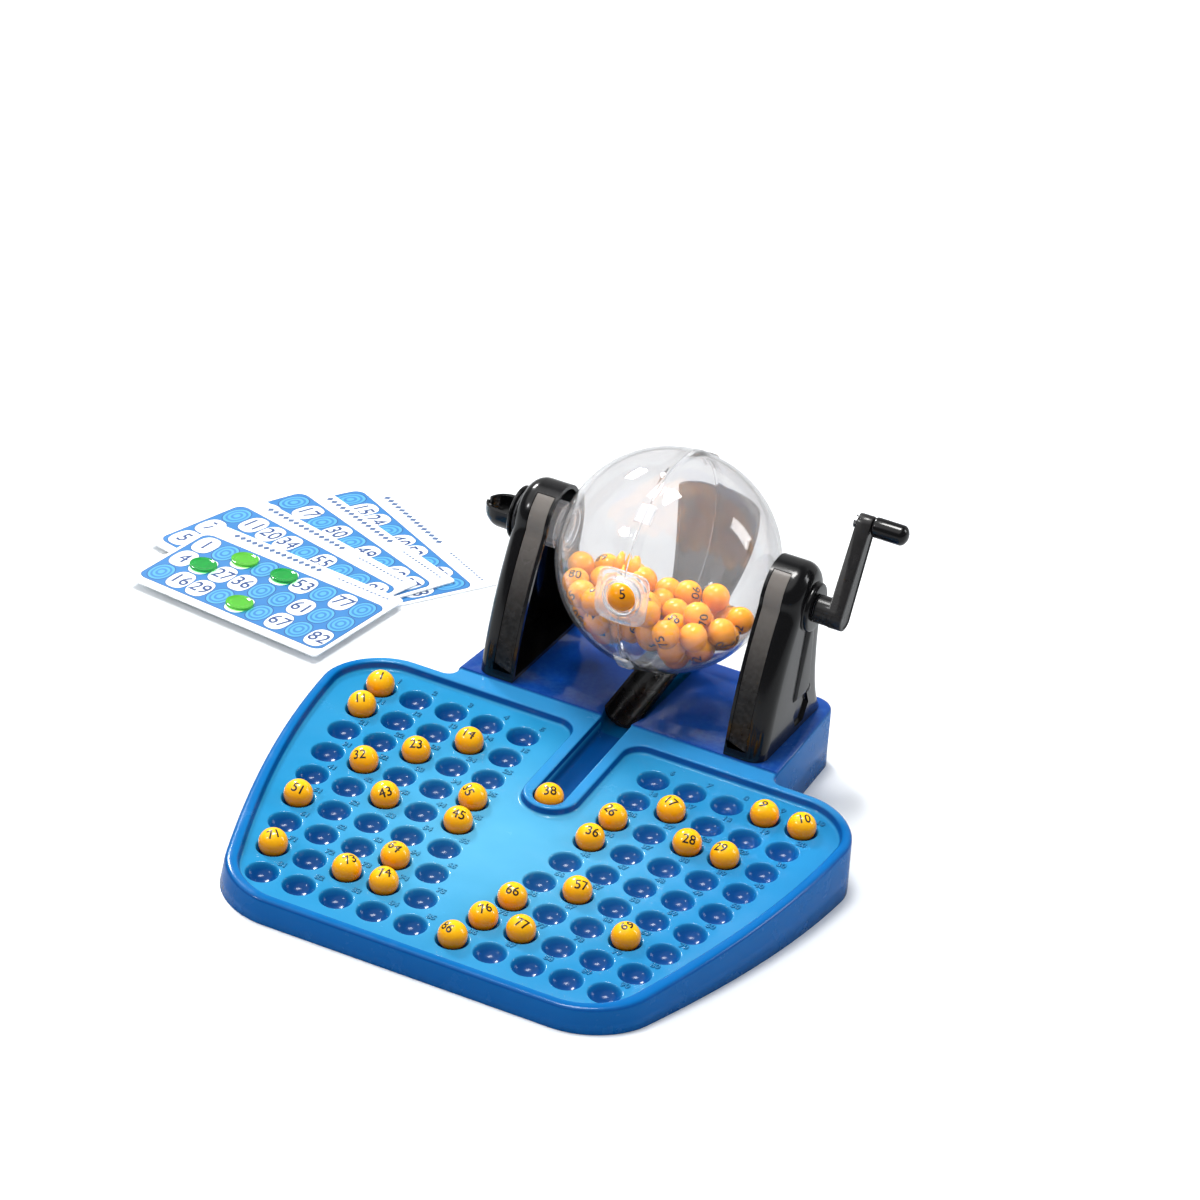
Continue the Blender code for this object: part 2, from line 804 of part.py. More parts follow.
def build_bush(name, side, bore_radius, material):
    # a flanged sleeve from inside the stand through its outer wall and boss
    sleeve = bore_radius + bush_wall
    inner_end = stand_outer_x - stand_wall - bush_flange_height - stand_gap
    wall_face = stand_outer_x - stand_wall - stand_gap
    outer_end = stand_outer_x + boss_height
    outer = [(side * inner_end, sleeve + bush_flange), (side * wall_face, sleeve + bush_flange),
             (side * wall_face, sleeve), (side * outer_end, sleeve)]
    inner = [(side * inner_end, bore_radius), (side * outer_end, bore_radius)]
    bm = bmesh.new()
    outer_rings = lathe_x(bm, outer, sleeve_sides, axle_y, axle_height)
    inner_rings = lathe_x(bm, inner, sleeve_sides, axle_y, axle_height)
    bridge_rings(bm, outer_rings[0], inner_rings[0])
    bridge_rings(bm, outer_rings[-1], inner_rings[-1])
    return add_object(name, bm, material)


def build_filler_tube(material):
    # the hollow left axle, through which balls are put into the globe
    inner_end = -(hub_end_x - hub_length)
    outer_end = -(stand_outer_x + boss_height)
    shoulder_end = -(stand_outer_x - stand_wall - bush_flange_height - 2 * stand_gap)
    shoulder = tube_radius + running_gap + bush_wall
    flange_start = -(hub_end_x + stand_gap)
    outer = [(inner_end, tube_radius), (flange_start, tube_radius), (flange_start, shoulder),
             (shoulder_end, shoulder), (shoulder_end, tube_radius), (outer_end, tube_radius)]
    inner = [(inner_end, tube_bore), (outer_end, tube_bore)]
    return add_object("filler_tube", tube_lathe_x(outer, inner, sleeve_sides), material, (0.0, axle_y, axle_height))


def build_loading_cup(material):
    # a half bowl, open at the top, whose throat meets the filler tube
    start_x = -(stand_outer_x + boss_height + stand_gap)
    flange_x = start_x - cup_flange_height
    body_end = start_x - cup_length + tube_radius
    bm = bmesh.new()
    outer_rings = []
    inner_rings = []
    stations = [(start_x, 1.0), (body_end, 1.0)]
    dome_steps = 3
    for k in range(1, dome_steps + 1):
        angle = pi / 2 * k / (dome_steps + 1)
        stations.append((body_end - tube_radius * sin(angle), cos(angle)))
    for x, share in stations:
        inward = cup_wall * (1 - share) * (body_end - x) / tube_radius
        outer_rings.append(half_section(bm, x, tube_radius + cup_wall / 2, share))
        inner_rings.append(half_section(bm, x + inward, tube_bore, share))
    for rings in (outer_rings, inner_rings):
        for near, far in zip(rings[:-1], rings[1:]):
            bridge_rings(bm, near, far, closed=False)
    for outer, inner in ((outer_rings[0], inner_rings[0]), (outer_rings[-1], inner_rings[-1])):
        bridge_rings(bm, outer, inner, closed=False)
    for end in (0, -1):
        for k in range(len(stations) - 1):
            bm.faces.new((outer_rings[k][end], outer_rings[k + 1][end],
                          inner_rings[k + 1][end], inner_rings[k][end]))
    cup = add_object("loading_cup", bm, material)
    flange = tube_lathe_x([(start_x, cup_flange_radius), (flange_x, cup_flange_radius)],
                          [(start_x, tube_bore), (flange_x, tube_bore)])
    combine(cup, add_cutter("cup_flange", flange), "UNION")
    return cup


def half_section(bm, x, radius, share):
    # the lower half of a ring across X, with its rims raised a little over the axle
    points = []
    for k in range(cup_sides + 1):
        angle = pi + pi * k / cup_sides
        points.append((x, axle_y + radius * share * cos(angle), axle_height + radius * share * sin(angle)))
    points[0] = (x, points[0][1], axle_height + cup_rise)
    points[-1] = (x, points[-1][1], axle_height + cup_rise)
    return ring_of(bm, points)


# Globe

def half_globe(side, hub_bore, material):
    # one half of the clear globe: outer and inner skins, a lip at the seam, a hub at the pole
    hub_radius = tube_radius + running_gap if side < 0 else shaft_radius + running_gap
    outer_hub = hub_radius + bush_wall
    seam_x = globe_seam_gap / 2
    profile_outer = [(seam_x, globe_radius + seam_lip_height),
                     (seam_x + seam_lip_width, globe_radius + seam_lip_height)]
    profile_inner = [(seam_x, sqrt(globe_inner ** 2 - seam_x ** 2))]
    outer_stop = asin(outer_hub / globe_radius)
    inner_stop = asin(outer_hub / globe_inner)
    lip_angle = acos((seam_x + seam_lip_width) / globe_radius)
    for k in range(globe_rings + 1):
        outer_angle = lip_angle + (outer_stop - lip_angle) * k / globe_rings
        profile_outer.append((globe_radius * cos(outer_angle), globe_radius * sin(outer_angle)))
        inner_angle = acos(seam_x / globe_inner) * (1 - k / globe_rings) + inner_stop * k / globe_rings
        if k:
            profile_inner.append((globe_inner * cos(inner_angle), globe_inner * sin(inner_angle)))
    profile_outer += [(hub_end_x, outer_hub), (hub_end_x, hub_bore)]
    profile_inner += [(profile_inner[-1][0], hub_bore)]
    bm = bmesh.new()
    turned_outer = [(side * x, radius) for x, radius in profile_outer]
    turned_inner = [(side * x, radius) for x, radius in profile_inner]
    outer_rings = lathe_x(bm, turned_outer, globe_sides, axle_y, axle_height)
    inner_rings = lathe_x(bm, turned_inner, globe_sides, axle_y, axle_height)
    bridge_rings(bm, outer_rings[0], inner_rings[0])
    bridge_rings(bm, outer_rings[-1], inner_rings[-1])
    name = "globe_left_half" if side < 0 else "globe_right_half"
    half = add_object(name, bm, material, (0.0, axle_y, axle_height))
    combine(half, add_cutter(name + "_port", port_cylinder(
        collar_bore + collar_wall + running_gap, globe_inner - overrun, globe_radius + overrun)), "DIFFERENCE")
    return half


def port_direction():
    return Vector((0.0, -cos(exit_angle), sin(exit_angle)))


def port_frame(radius_from_axle):
    # a frame on the port's axis, its Z pointing out of the globe
    outwards = port_direction()
    turn = outwards.to_track_quat("Z", "Y").to_matrix().to_4x4()
    return Matrix.Translation(Vector((0.0, axle_y, axle_height)) + outwards * radius_from_axle) @ turn


def port_cylinder(radius, near, far):
    bm = prism_z(circle_points(radius, sleeve_sides), 0.0, far - near)
    bmesh.ops.transform(bm, matrix=port_frame(near), verts=bm.verts)
    return bm


def build_exit_collar(material):
    # a clear sleeve in the port that reaches into the globe, with a thin rim outside
    outer_radius = collar_bore + collar_wall
    start = globe_inner - collar_length
    seat = sqrt(globe_radius ** 2 - outer_radius ** 2) + collar_rim
    levels_outer = ((start, outer_radius), (seat, outer_radius))
    levels_inner = ((start, collar_bore + collar_wall / 2), (start + collar_wall, collar_bore), (seat, collar_bore))
    bm = bmesh.new()
    outer = [ring_of(bm, [(x, y, r) for x, y in circle_points(size, sleeve_sides)]) for r, size in levels_outer]
    inner = [ring_of(bm, [(x, y, r) for x, y in circle_points(size, sleeve_sides)]) for r, size in levels_inner]
    bridge_rings(bm, outer[0], outer[1])
    bridge_rings(bm, inner[0], inner[1])
    bridge_rings(bm, inner[1], inner[2])
    bridge_rings(bm, outer[0], inner[0])
    bridge_rings(bm, outer[1], inner[2])
    bmesh.ops.transform(bm, matrix=port_frame(0.0), verts=bm.verts)
    return add_object("exit_collar", bm, material, (0.0, axle_y, axle_height))


def build_clip(index, material):
    # a clear clip that hooks over the lips of both halves
    angle = 2 * pi * clip_angles_share[index]
    low = globe_radius + seam_lip_height + stand_gap
    high = low + clip_height
    half_width = clip_width / 2
    half_length = clip_length / 2
    hook = seam_lip_width + globe_seam_gap / 2 + stand_gap
    hook_low = globe_radius + stand_gap
    section = [(-half_width, hook_low), (-hook, hook_low), (-hook, low), (hook, low),
               (hook, hook_low), (half_width, hook_low), (half_width - clip_height, high),
               (clip_height - half_width, high)]
    bm = bmesh.new()
    rings = []
    for end in (-1, 0, 1):
        turn = angle + end * asin(half_length / globe_radius)
        outwards = Vector((0.0, -cos(turn), sin(turn)))
        centre = Vector((0.0, axle_y, axle_height))
        rings.append(ring_of(bm, [centre + Vector((x, 0.0, 0.0)) + outwards * r for x, r in section]))
    bridge_rings(bm, rings[0], rings[1])
    bridge_rings(bm, rings[1], rings[2])
    bm.faces.new(rings[0][::-1])
    bm.faces.new(rings[2])
    return add_object("seam_clip_" + str(index + 1), bm, material, (0.0, axle_y, axle_height))


# Crank

def crank_plane_x():
    return stand_outer_x + boss_height + arm_gap


def crank_end():
    return (axle_y + crank_length * sin(crank_angle), axle_height + crank_length * cos(crank_angle))


def build_crank_shaft(material):
    inner_end = hub_end_x - shaft_socket_depth
    collar_start = hub_end_x + stand_gap
    collar_end = stand_outer_x - stand_wall - bush_flange_height - 2 * stand_gap
    collar_radius = shaft_radius + running_gap + bush_wall
    outer_end = crank_plane_x() + arm_thickness / 2
    profile = [(inner_end, shaft_radius), (collar_start, shaft_radius), (collar_start, collar_radius),
               (collar_end, collar_radius), (collar_end, shaft_radius), (outer_end, shaft_radius)]
    return add_object("crank_shaft", solid_lathe_x(profile, sleeve_sides), material, (0.0, axle_y, axle_height))


def build_crank_arm(material):
    # a flat bar with round ends, a boss towards the stand and bores for the shaft and the knob pin
    near = crank_plane_x()
    far = near + arm_thickness
    end_y, end_z = crank_end()
    along = atan2(end_z - axle_height, end_y - axle_y)
    half = arm_width / 2
    steps = corner_steps + 1
    outline = arc_points((end_y, end_z), half, along - pi / 2, along + pi / 2, steps)
    outline += arc_points((axle_y, axle_height), crank_boss_radius, along + pi / 2 + asin(bevel_share),
                          along + 3 * pi / 2 - asin(bevel_share), steps)
    arm = add_object("crank_arm", prism_x(outline, near, far), material, (0.0, axle_y, axle_height))
    boss = solid_lathe_x([(near - arm_gap + running_gap, crank_boss_radius - running_gap),
                          (near + arm_thickness / 2, crank_boss_radius - running_gap)])
    combine(arm, add_cutter("arm_boss", boss), "UNION")
    shaft_bore = solid_lathe_x([(near - arm_gap - overrun, shaft_radius + running_gap),
                                (near + arm_thickness / 2 + running_gap, shaft_radius + running_gap)])
    combine(arm, add_cutter("arm_shaft_bore", shaft_bore), "DIFFERENCE")
    pin_bore = solid_lathe_x([(near - overrun, knob_pin_radius + running_gap),
                              (far + overrun, knob_pin_radius + running_gap)], round_sides // 2, (end_y, end_z))
    combine(arm, add_cutter("arm_pin_bore", pin_bore), "DIFFERENCE")
    return arm


def build_knob_pin(material):
    near = crank_plane_x()
    end = crank_end()
    head_face = near - running_gap
    outer_end = near + arm_thickness + knob_length * (1 - bevel_share)
    profile = [(head_face - knob_pin_head_height, knob_pin_head_radius), (head_face, knob_pin_head_radius),
               (head_face, knob_pin_radius), (outer_end, knob_pin_radius)]
    return add_object("knob_pin", solid_lathe_x(profile, round_sides // 2, end), material, (0.0, axle_y, axle_height))


def build_crank_knob(material):
    end_y, end_z = crank_end()
    start = crank_plane_x() + arm_thickness + running_gap
    dome = knob_radius * (1 - bevel_share)
    profile = [(start, knob_radius * (1 - bevel_share / 2)), (start + knob_radius * bevel_share / 2, knob_radius),
               (start + knob_length - dome, knob_radius)]
    dome_steps = 3
    for k in range(1, dome_steps + 1):
        angle = pi / 2 * k / (dome_steps + 1)
        profile.append((start + knob_length - dome + dome * sin(angle), knob_radius * cos(angle)))
    knob = add_object("crank_knob", solid_lathe_x(profile, round_sides, (end_y, end_z)), material,
                      (start, end_y, end_z))
    bore_end = start - running_gap + knob_length * (1 - bevel_share) + running_gap
    bore = solid_lathe_x([(start - overrun, knob_pin_radius + running_gap),
                          (bore_end, knob_pin_radius + running_gap)], round_sides // 2, (end_y, end_z))
    combine(knob, add_cutter("knob_bore", bore), "DIFFERENCE")
    return knob


# Chute: a trough on the way to the channel that spreads into a scoop behind the globe

def chute_stations():
    # centre line points (y, z) of the trough's bed, with the slope there and a share along the scoop
    front_y = step_y + deck_step_run + chute_front_overlap
    bed_height = rim_top(front_y) - channel_depth + chute_drop + chute_wall
    radius = (axle_height - bed_height - (axle_y - front_y) * tan(chute_slope)) * cos(chute_slope)
    line_end_y = axle_y + radius * sin(chute_slope)
    stations = []
    for k in range(chute_line_steps):
        y = front_y + (line_end_y - front_y) * k / chute_line_steps
        stations.append((y, bed_height + (y - front_y) * tan(chute_slope), chute_slope, 0.0))
    for k in range(scoop_steps + 1):
        share = k / scoop_steps
        slope = chute_slope + (pi / 2 + scoop_top_angle - chute_slope) * share
        stations.append((axle_y + radius * sin(slope), axle_height - radius * cos(slope), slope, share))
    return stations


def trough_ring(bm, station, wall):
    y, z, slope, share = station
    ease = share * share * (3 - 2 * share)
    half = chute_bore + (scoop_half - chute_bore) * ease + wall
    depth = chute_bore + (scoop_depth - chute_bore) * ease
    points = []
    for k in range(chute_section_steps + 1):
        angle = pi * k / chute_section_steps
        across = half * cos(angle)
        inward = depth - (depth + wall) * sin(angle)
        points.append((across, y - inward * sin(slope), z + inward * cos(slope)))
    return ring_of(bm, points)


def build_ball_chute(material):
    bm = bmesh.new()
    stations = chute_stations()
    inner = [trough_ring(bm, station, 0.0) for station in stations]
    outer = [trough_ring(bm, station, chute_wall) for station in stations]
    for rings in (inner, outer):
        for near, far in zip(rings[:-1], rings[1:]):
            bridge_rings(bm, near, far, closed=False)
    for end in (0, -1):
        bridge_rings(bm, inner[end], outer[end], closed=False)
        for k in range(len(stations) - 1):
            bm.faces.new((inner[k][end], inner[k + 1][end], outer[k + 1][end], outer[k][end]))
    chute = add_object("ball_chute", bm, material)
    leg_y = axle_y + chute_leg_back
    leg_top = leg_height(leg_y, stations)
    leg = box_between((-chute_leg_width / 2, leg_y - chute_leg_thickness / 2, deck_height + stand_gap),
                      (chute_leg_width / 2, leg_y + chute_leg_thickness / 2, leg_top))
    combine(chute, add_cutter("chute_leg", leg), "UNION")
    return chute


def leg_height(leg_y, stations):
    # half way into the bed's wall over the leg
    radius = hypot(stations[-1][0] - axle_y, axle_height - stations[-1][1])
    middle = radius + chute_wall / 2
    return axle_height - sqrt(middle ** 2 - (leg_y - axle_y) ** 2)


# Balls

def ball_bmesh(centre):
    bm = bmesh.new()
    bmesh.ops.create_icosphere(bm, subdivisions=2, radius=ball_radius)
    bmesh.ops.translate(bm, verts=bm.verts, vec=centre)
    return bm


def build_ball(name, centre, material):
    return add_object(name, ball_bmesh(centre), material, tuple(centre))


def heap_ball_bmesh(centre):
    # a coarser ball of about the same volume as the round one
    bm = bmesh.new()
    bmesh.ops.create_icosphere(bm, subdivisions=1, radius=ball_radius * heap_ball_growth_share)
    bmesh.ops.translate(bm, verts=bm.verts, vec=centre)
    return bm


def build_pile(centres, material):
    # the balls in the globe press on each other, so the heap is one body
    pile = add_object("balls_in_globe", heap_ball_bmesh(centres[0]), material)
    others = bpy.data.collections.new("pile_balls")
    bpy.context.scene.collection.children.link(others)
    for index, centre in enumerate(centres[1:]):
        ball = add_cutter("pile_ball_" + str(index + 2), heap_ball_bmesh(centre))
        bpy.context.collection.objects.unlink(ball)
        others.objects.link(ball)
    union = pile.modifiers.new("heap", "BOOLEAN")
    union.operation = "UNION"
    union.solver = "EXACT"
    union.operand_type = "COLLECTION"
    union.collection = others
    return pile


def tray_ball_centres():
    centres = []
    pits = all_pits()
    for number in tray_ball_numbers:
        x, y = pits[number - 1]
        seat = floor_height(y) - pit_depth + pit_radius * pit_base_radius_share * tan(tray_slope)
        centres.append((number, Vector((x, y, seat + ball_seat_gap + ball_radius))))
    return centres


def channel_ball_centre():
    y = tongue_front + channel_front_wall + channel_half
    bed = rim_top(y) - channel_depth
    return Vector((0.0, y, bed + ball_seat_gap + ball_radius / cos(tray_slope)))


def exit_ball_centre():
    # half way through the port, so that it clears the heap as the globe turns
    return Vector((0.0, axle_y, axle_height)) + port_direction() * globe_inner


def settled_pile(count):
    # balls sink step by step, kept apart from each other, the wall and the collar's path
    spacing = ball_diameter - pile_bite
    reach = globe_inner - ball_radius - pile_wall_gap
    rows = []
    layer = 0
    while len(rows) < count:
        height = -reach + layer * spacing * sqrt(2 / 3)
        shift = spacing / 2 * (layer % 2)
        limit = sqrt(max(reach ** 2 - height ** 2, 0.0))
        steps = int(limit / spacing) + 1
        for i in range(-steps, steps + 1):
            for j in range(-steps, steps + 1):
                x = i * spacing + shift + spacing / 2 * (j % 2)
                y = j * spacing * sqrt(3) / 2 + shift * bevel_share
                if hypot(x, y) < limit and len(rows) < count:
                    rows.append((x, y, height))
        layer += 1
    points = np.array(rows)
    groove_half = collar_bore + collar_wall + pile_groove_gap
    groove_radius = globe_inner - collar_length - pile_groove_gap
    for step in range(settle_steps):
        fade = 1 - step / settle_steps
        points[:, 2] -= settle_step * fade
        points[:, 1] -= settle_step * bevel_share * fade
        for _ in range(3):
            push_apart(points, spacing)
            keep_off_groove(points, groove_half, groove_radius)
            distance = np.linalg.norm(points, axis=1)
            over = distance > reach
            points[over] *= (reach / distance[over])[:, None]
    for _ in range(settle_steps // 3):
        push_apart(points, spacing)
        keep_off_groove(points, groove_half, groove_radius)
        distance = np.linalg.norm(points, axis=1)
        over = distance > reach
        points[over] *= (reach / distance[over])[:, None]
    centre = Vector((0.0, axle_y, axle_height))
    return [centre + Vector(point) for point in points.tolist()]


def push_apart(points, spacing):
    gaps = points[:, None, :] - points[None, :, :]
    distance = np.linalg.norm(gaps, axis=2)
    np.fill_diagonal(distance, spacing)
    overlap = np.clip(spacing - distance, 0.0, None)
    direction = gaps / np.maximum(distance, running_gap)[:, :, None]
    points += (direction * overlap[:, :, None]).sum(axis=1) / 2


def keep_off_groove(points, groove_half, groove_radius):
    # the collar sweeps a ring about the axle; each ball stays its radius away from it
    radial = np.hypot(points[:, 1], points[:, 2])
    beside = np.maximum(np.abs(points[:, 0]) - groove_half, 0.0)
    below = np.maximum(radial - groove_radius, -ball_diameter)
    inside = np.maximum(-below, 0.0)
    distance = np.hypot(beside, inside)
    short = np.clip(ball_radius + pile_groove_gap - distance, 0.0, None)
    safe = np.maximum(distance, running_gap)
    points[:, 0] += np.sign(points[:, 0]) * short * beside / safe
    scale = (radial - short * inside / safe) / np.maximum(radial, running_gap)
    points[:, 1] *= scale
    points[:, 2] *= scale


# Cards and chips

def card_level(index):
    # the first card lies on top, the last on the table
    below = len(card_places) - 1 - index
    return below * (card_thickness + card_gap)


def card_point(index, across, along):
    turn = card_turns[index]
    x, y = card_places[index]
    return (x + across * cos(turn) - along * sin(turn), floor_middle_y + y + across * sin(turn) + along * cos(turn))


def build_card(index, material):
    half_x = card_length / 2
    half_y = card_width / 2
    outline = round_corners([(-half_x, -half_y, card_corner), (half_x, -half_y, card_corner),
                             (half_x, half_y, card_corner), (-half_x, half_y, card_corner)], 3)
    base = card_level(index)
    bm = prism_z([card_point(index, x, y) for x, y in outline], base, base + card_thickness)
    return add_object("card_" + str(index + 1), bm, material, (*card_point(index, 0.0, 0.0), base))


def build_chip(index, material):
    column, row = chip_cells[index]
    x, y = card_point(0, column * cell_width, row * cell_height - panel_shift)
    base = card_level(0) + card_thickness + card_gap
    outline = [(x + dx, y + dy) for dx, dy in circle_points(chip_radius, chip_sides)]
    return add_object("chip_" + str(index + 1), prism_z(outline, base, base + chip_thickness), material, (x, y, base))


def centre_on_table():
    # moves everything so that the origin is under the middle of the game
    bpy.context.view_layer.update()
    graph = bpy.context.evaluated_depsgraph_get()
    corners = []
    for thing in bpy.data.objects:
        if thing.type == "MESH" and not thing.hide_render:
            evaluated = thing.evaluated_get(graph)
            corners += [evaluated.matrix_world @ Vector(corner) for corner in evaluated.bound_box]
    middle = [(min(c[axis] for c in corners) + max(c[axis] for c in corners)) / 2 for axis in (0, 1)]
    lowest = min(c.z for c in corners)
    for thing in bpy.data.objects:
        if thing.parent is None:
            thing.location -= Vector((*middle, lowest))
    bpy.context.view_layer.update()


def main():
    clear_scene()
    blue = make_material("tray_blue_plastic", (0.03, 0.30, 0.72), 0.12, transmission=0.35)
    black = make_material("black_gloss_plastic", (0.012, 0.012, 0.014), 0.18)
    clear = make_material("clear_plastic", (0.93, 0.95, 0.97), 0.05, transmission=0.95)
    yellow = make_material("ball_yellow_plastic", (1.0, 0.55, 0.03), 0.25)
    steel = make_material("screw_steel", (0.55, 0.55, 0.57), 0.35, metallic=1.0)
    card = make_material("printed_card", (0.10, 0.42, 0.75), 0.55)
    green = make_material("chip_green_plastic", (0.10, 0.62, 0.22), 0.2, transmission=0.4)
    grey = make_material("bush_grey_plastic", (0.09, 0.09, 0.10), 0.4)

    build_base_tray(blue)
    build_stand("left_stand", -1, tube_radius + running_gap + bush_wall + stand_gap, black)
    build_stand("right_stand", 1, shaft_radius + running_gap + bush_wall + stand_gap, black)
    build_bush("left_bush", -1, tube_radius + running_gap, grey)
    build_bush("right_bush", 1, shaft_radius + running_gap, grey)
    build_loading_cup(black)
    build_ball_chute(black)

    globe_joint = add_joint_empty("globe_axis", (0.0, axle_y, axle_height))
    turning = [half_globe(-1, tube_radius + running_gap, clear), half_globe(1, shaft_radius + running_gap, clear),
               build_exit_collar(clear), build_filler_tube(clear), build_crank_shaft(steel),
               build_crank_arm(black), build_knob_pin(steel)]
    turning += [build_clip(index, clear) for index in range(len(clip_angles_share))]
    turning.append(build_ball("exit_ball", exit_ball_centre(), yellow))
    for thing in turning:
        place_on_joint(thing, globe_joint)
    knob = build_crank_knob(black)
    place_on_joint(knob, globe_joint)

    for number, centre in tray_ball_centres():
        build_ball("ball_" + str(number), centre, yellow)
    build_ball("channel_ball", channel_ball_centre(), yellow)
    build_pile(settled_pile(ball_total - len(tray_ball_numbers) - 2), yellow)

    for index in range(len(card_places)):
        build_card(index, card)
    for index in range(len(chip_cells)):
        build_chip(index, green)
    centre_on_table()


main()
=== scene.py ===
import bmesh
import bpy
import numpy as np
from math import acos, asin, atan2, cos, hypot, pi, radians, sin, sqrt, tan
from mathutils import Matrix, Vector


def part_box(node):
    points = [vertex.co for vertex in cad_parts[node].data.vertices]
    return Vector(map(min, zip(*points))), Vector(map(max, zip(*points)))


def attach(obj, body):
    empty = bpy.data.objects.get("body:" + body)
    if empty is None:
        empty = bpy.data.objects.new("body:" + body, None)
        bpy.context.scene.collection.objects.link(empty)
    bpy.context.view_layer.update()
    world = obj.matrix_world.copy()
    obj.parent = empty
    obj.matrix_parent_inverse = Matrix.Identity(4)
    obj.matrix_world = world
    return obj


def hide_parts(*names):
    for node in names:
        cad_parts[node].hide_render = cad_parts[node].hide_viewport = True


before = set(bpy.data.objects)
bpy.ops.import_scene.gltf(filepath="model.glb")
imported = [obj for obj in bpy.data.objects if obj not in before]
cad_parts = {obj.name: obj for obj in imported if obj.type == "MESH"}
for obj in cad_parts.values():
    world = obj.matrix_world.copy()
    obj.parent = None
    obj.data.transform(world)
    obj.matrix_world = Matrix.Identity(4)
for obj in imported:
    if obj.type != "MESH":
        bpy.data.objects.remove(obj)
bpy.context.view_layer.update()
print("frame loaded:", len(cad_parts), "parts")


# Places shared by the pieces. All pieces are drawn round the tray's own origin, which is
# under the front middle of the tray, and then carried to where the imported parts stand.
layout = {
    "slope": radians(5), "floorFrontHeight": 0.0085, "floorFrontY": 0.0073, "floorLength": 0.183,
    "rimHeight": 0.0036, "rimWidth": 0.0054, "deckHeight": 0.030, "stepY": 0.2013, "axleBack": 0.038,
    "ballRadius": 0.0065,
}


def middleOf(node):
    low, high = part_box(node)
    return (low + high) / 2


axleHeight = middleOf("crank_shaft").z
axleY = layout["stepY"] + layout["axleBack"]
gameShift = Vector((middleOf("base_tray").x, middleOf("crank_shaft").y - axleY, 0.0))
globeCentre = Vector((0.0, axleY, axleHeight))
floorMiddleY = layout["floorFrontY"] + layout["floorLength"] / 2
floorBackY = layout["floorFrontY"] + layout["floorLength"]


def floorHeight(y):
    return layout["floorFrontHeight"] + (y - layout["floorFrontY"]) * tan(layout["slope"])


def rimTop(y):
    return floorHeight(y) + layout["rimHeight"]


# Small mesh tools
overshoot = 0.004  # how far a cutter reaches past what it cuts


def newObject(name, data):
    thing = bpy.data.objects.new(name, data)
    bpy.context.scene.collection.objects.link(thing)
    return thing


def linkedObject(name, bm, materials=()):
    mesh = bpy.data.meshes.new(name)
    bm.to_mesh(mesh)
    bm.free()
    for material in materials:
        mesh.materials.append(material)
    return newObject(name, mesh)


def makePiece(name, bm, materials, body, replaced=(), sharp=38, recalc=True):
    if recalc:
        bmesh.ops.recalc_face_normals(bm, faces=bm.faces)
    bmesh.ops.translate(bm, verts=bm.verts, vec=gameShift)
    thing = linkedObject(name, bm, materials)
    thing.data.shade_smooth()
    thing.data.set_sharp_from_angle(angle=radians(sharp))
    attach(thing, body)
    if replaced:
        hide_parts(*replaced)
    return thing


def looseObject(name, bm):
    bmesh.ops.recalc_face_normals(bm, faces=bm.faces)
    return linkedObject(name, bm)


def softEdge(thing, width, above, harden=False):
    bevel = thing.modifiers.new("softEdge", "BEVEL")
    bevel.width = width
    bevel.segments = 2
    bevel.limit_method = "ANGLE"
    bevel.angle_limit = radians(above)
    bevel.harden_normals = harden
    return thing


def carve(bm, steps):
    # steps: (operation, bmesh) pairs worked on bm in turn; gives back one new bmesh
    thing = looseObject("carved", bm)
    cutters = []
    for index, (operation, cutterMesh) in enumerate(steps):
        cutter = looseObject("cutter" + str(index), cutterMesh)
        cutters.append(cutter)
        modifier = thing.modifiers.new("step" + str(index), "BOOLEAN")
        modifier.operation = operation
        modifier.solver = "EXACT"
        modifier.object = cutter
    bpy.context.view_layer.update()
    graph = bpy.context.evaluated_depsgraph_get()
    result = bmesh.new()
    result.from_mesh(thing.evaluated_get(graph).to_mesh())
    for extra in cutters + [thing]:
        bpy.data.objects.remove(extra, do_unlink=True)
    return result


def joinInto(target, extra):
    mesh = bpy.data.meshes.new("joined")
    extra.to_mesh(mesh)
    extra.free()
    target.from_mesh(mesh)
    bpy.data.meshes.remove(mesh)


def ringOf(bm, points):
    return [bm.verts.new(point) for point in points]


def bridge(bm, near, far, closed=True):
    count = len(near)
    for index in range(count if closed else count - 1):
        after = (index + 1) % count
        bm.faces.new((near[index], near[after], far[after], far[index]))


def skinRings(bm, rings, closed=True, capped=False):
    for near, far in zip(rings[:-1], rings[1:]):
        bridge(bm, near, far, closed)
    if capped:
        bm.faces.new(rings[0][::-1])
        bm.faces.new(rings[-1])


def thickSheet(bm, near, far):
    # two open sheets, joined along their ends and their sides
    for rings in (near, far):
        skinRings(bm, rings, closed=False)
    for end in (0, -1):
        bridge(bm, near[end], far[end], closed=False)
        for k in range(len(near) - 1):
            bm.faces.new((near[k][end], near[k + 1][end], far[k + 1][end], far[k][end]))


def circlePoints(radius, sides):
    return [(radius * cos(2 * pi * k / sides), radius * sin(2 * pi * k / sides)) for k in range(sides)]


def arcPoints(centre, radius, start, end, steps):
    return [(centre[0] + radius * cos(start + (end - start) * k / steps),
             centre[1] + radius * sin(start + (end - start) * k / steps)) for k in range(steps + 1)]


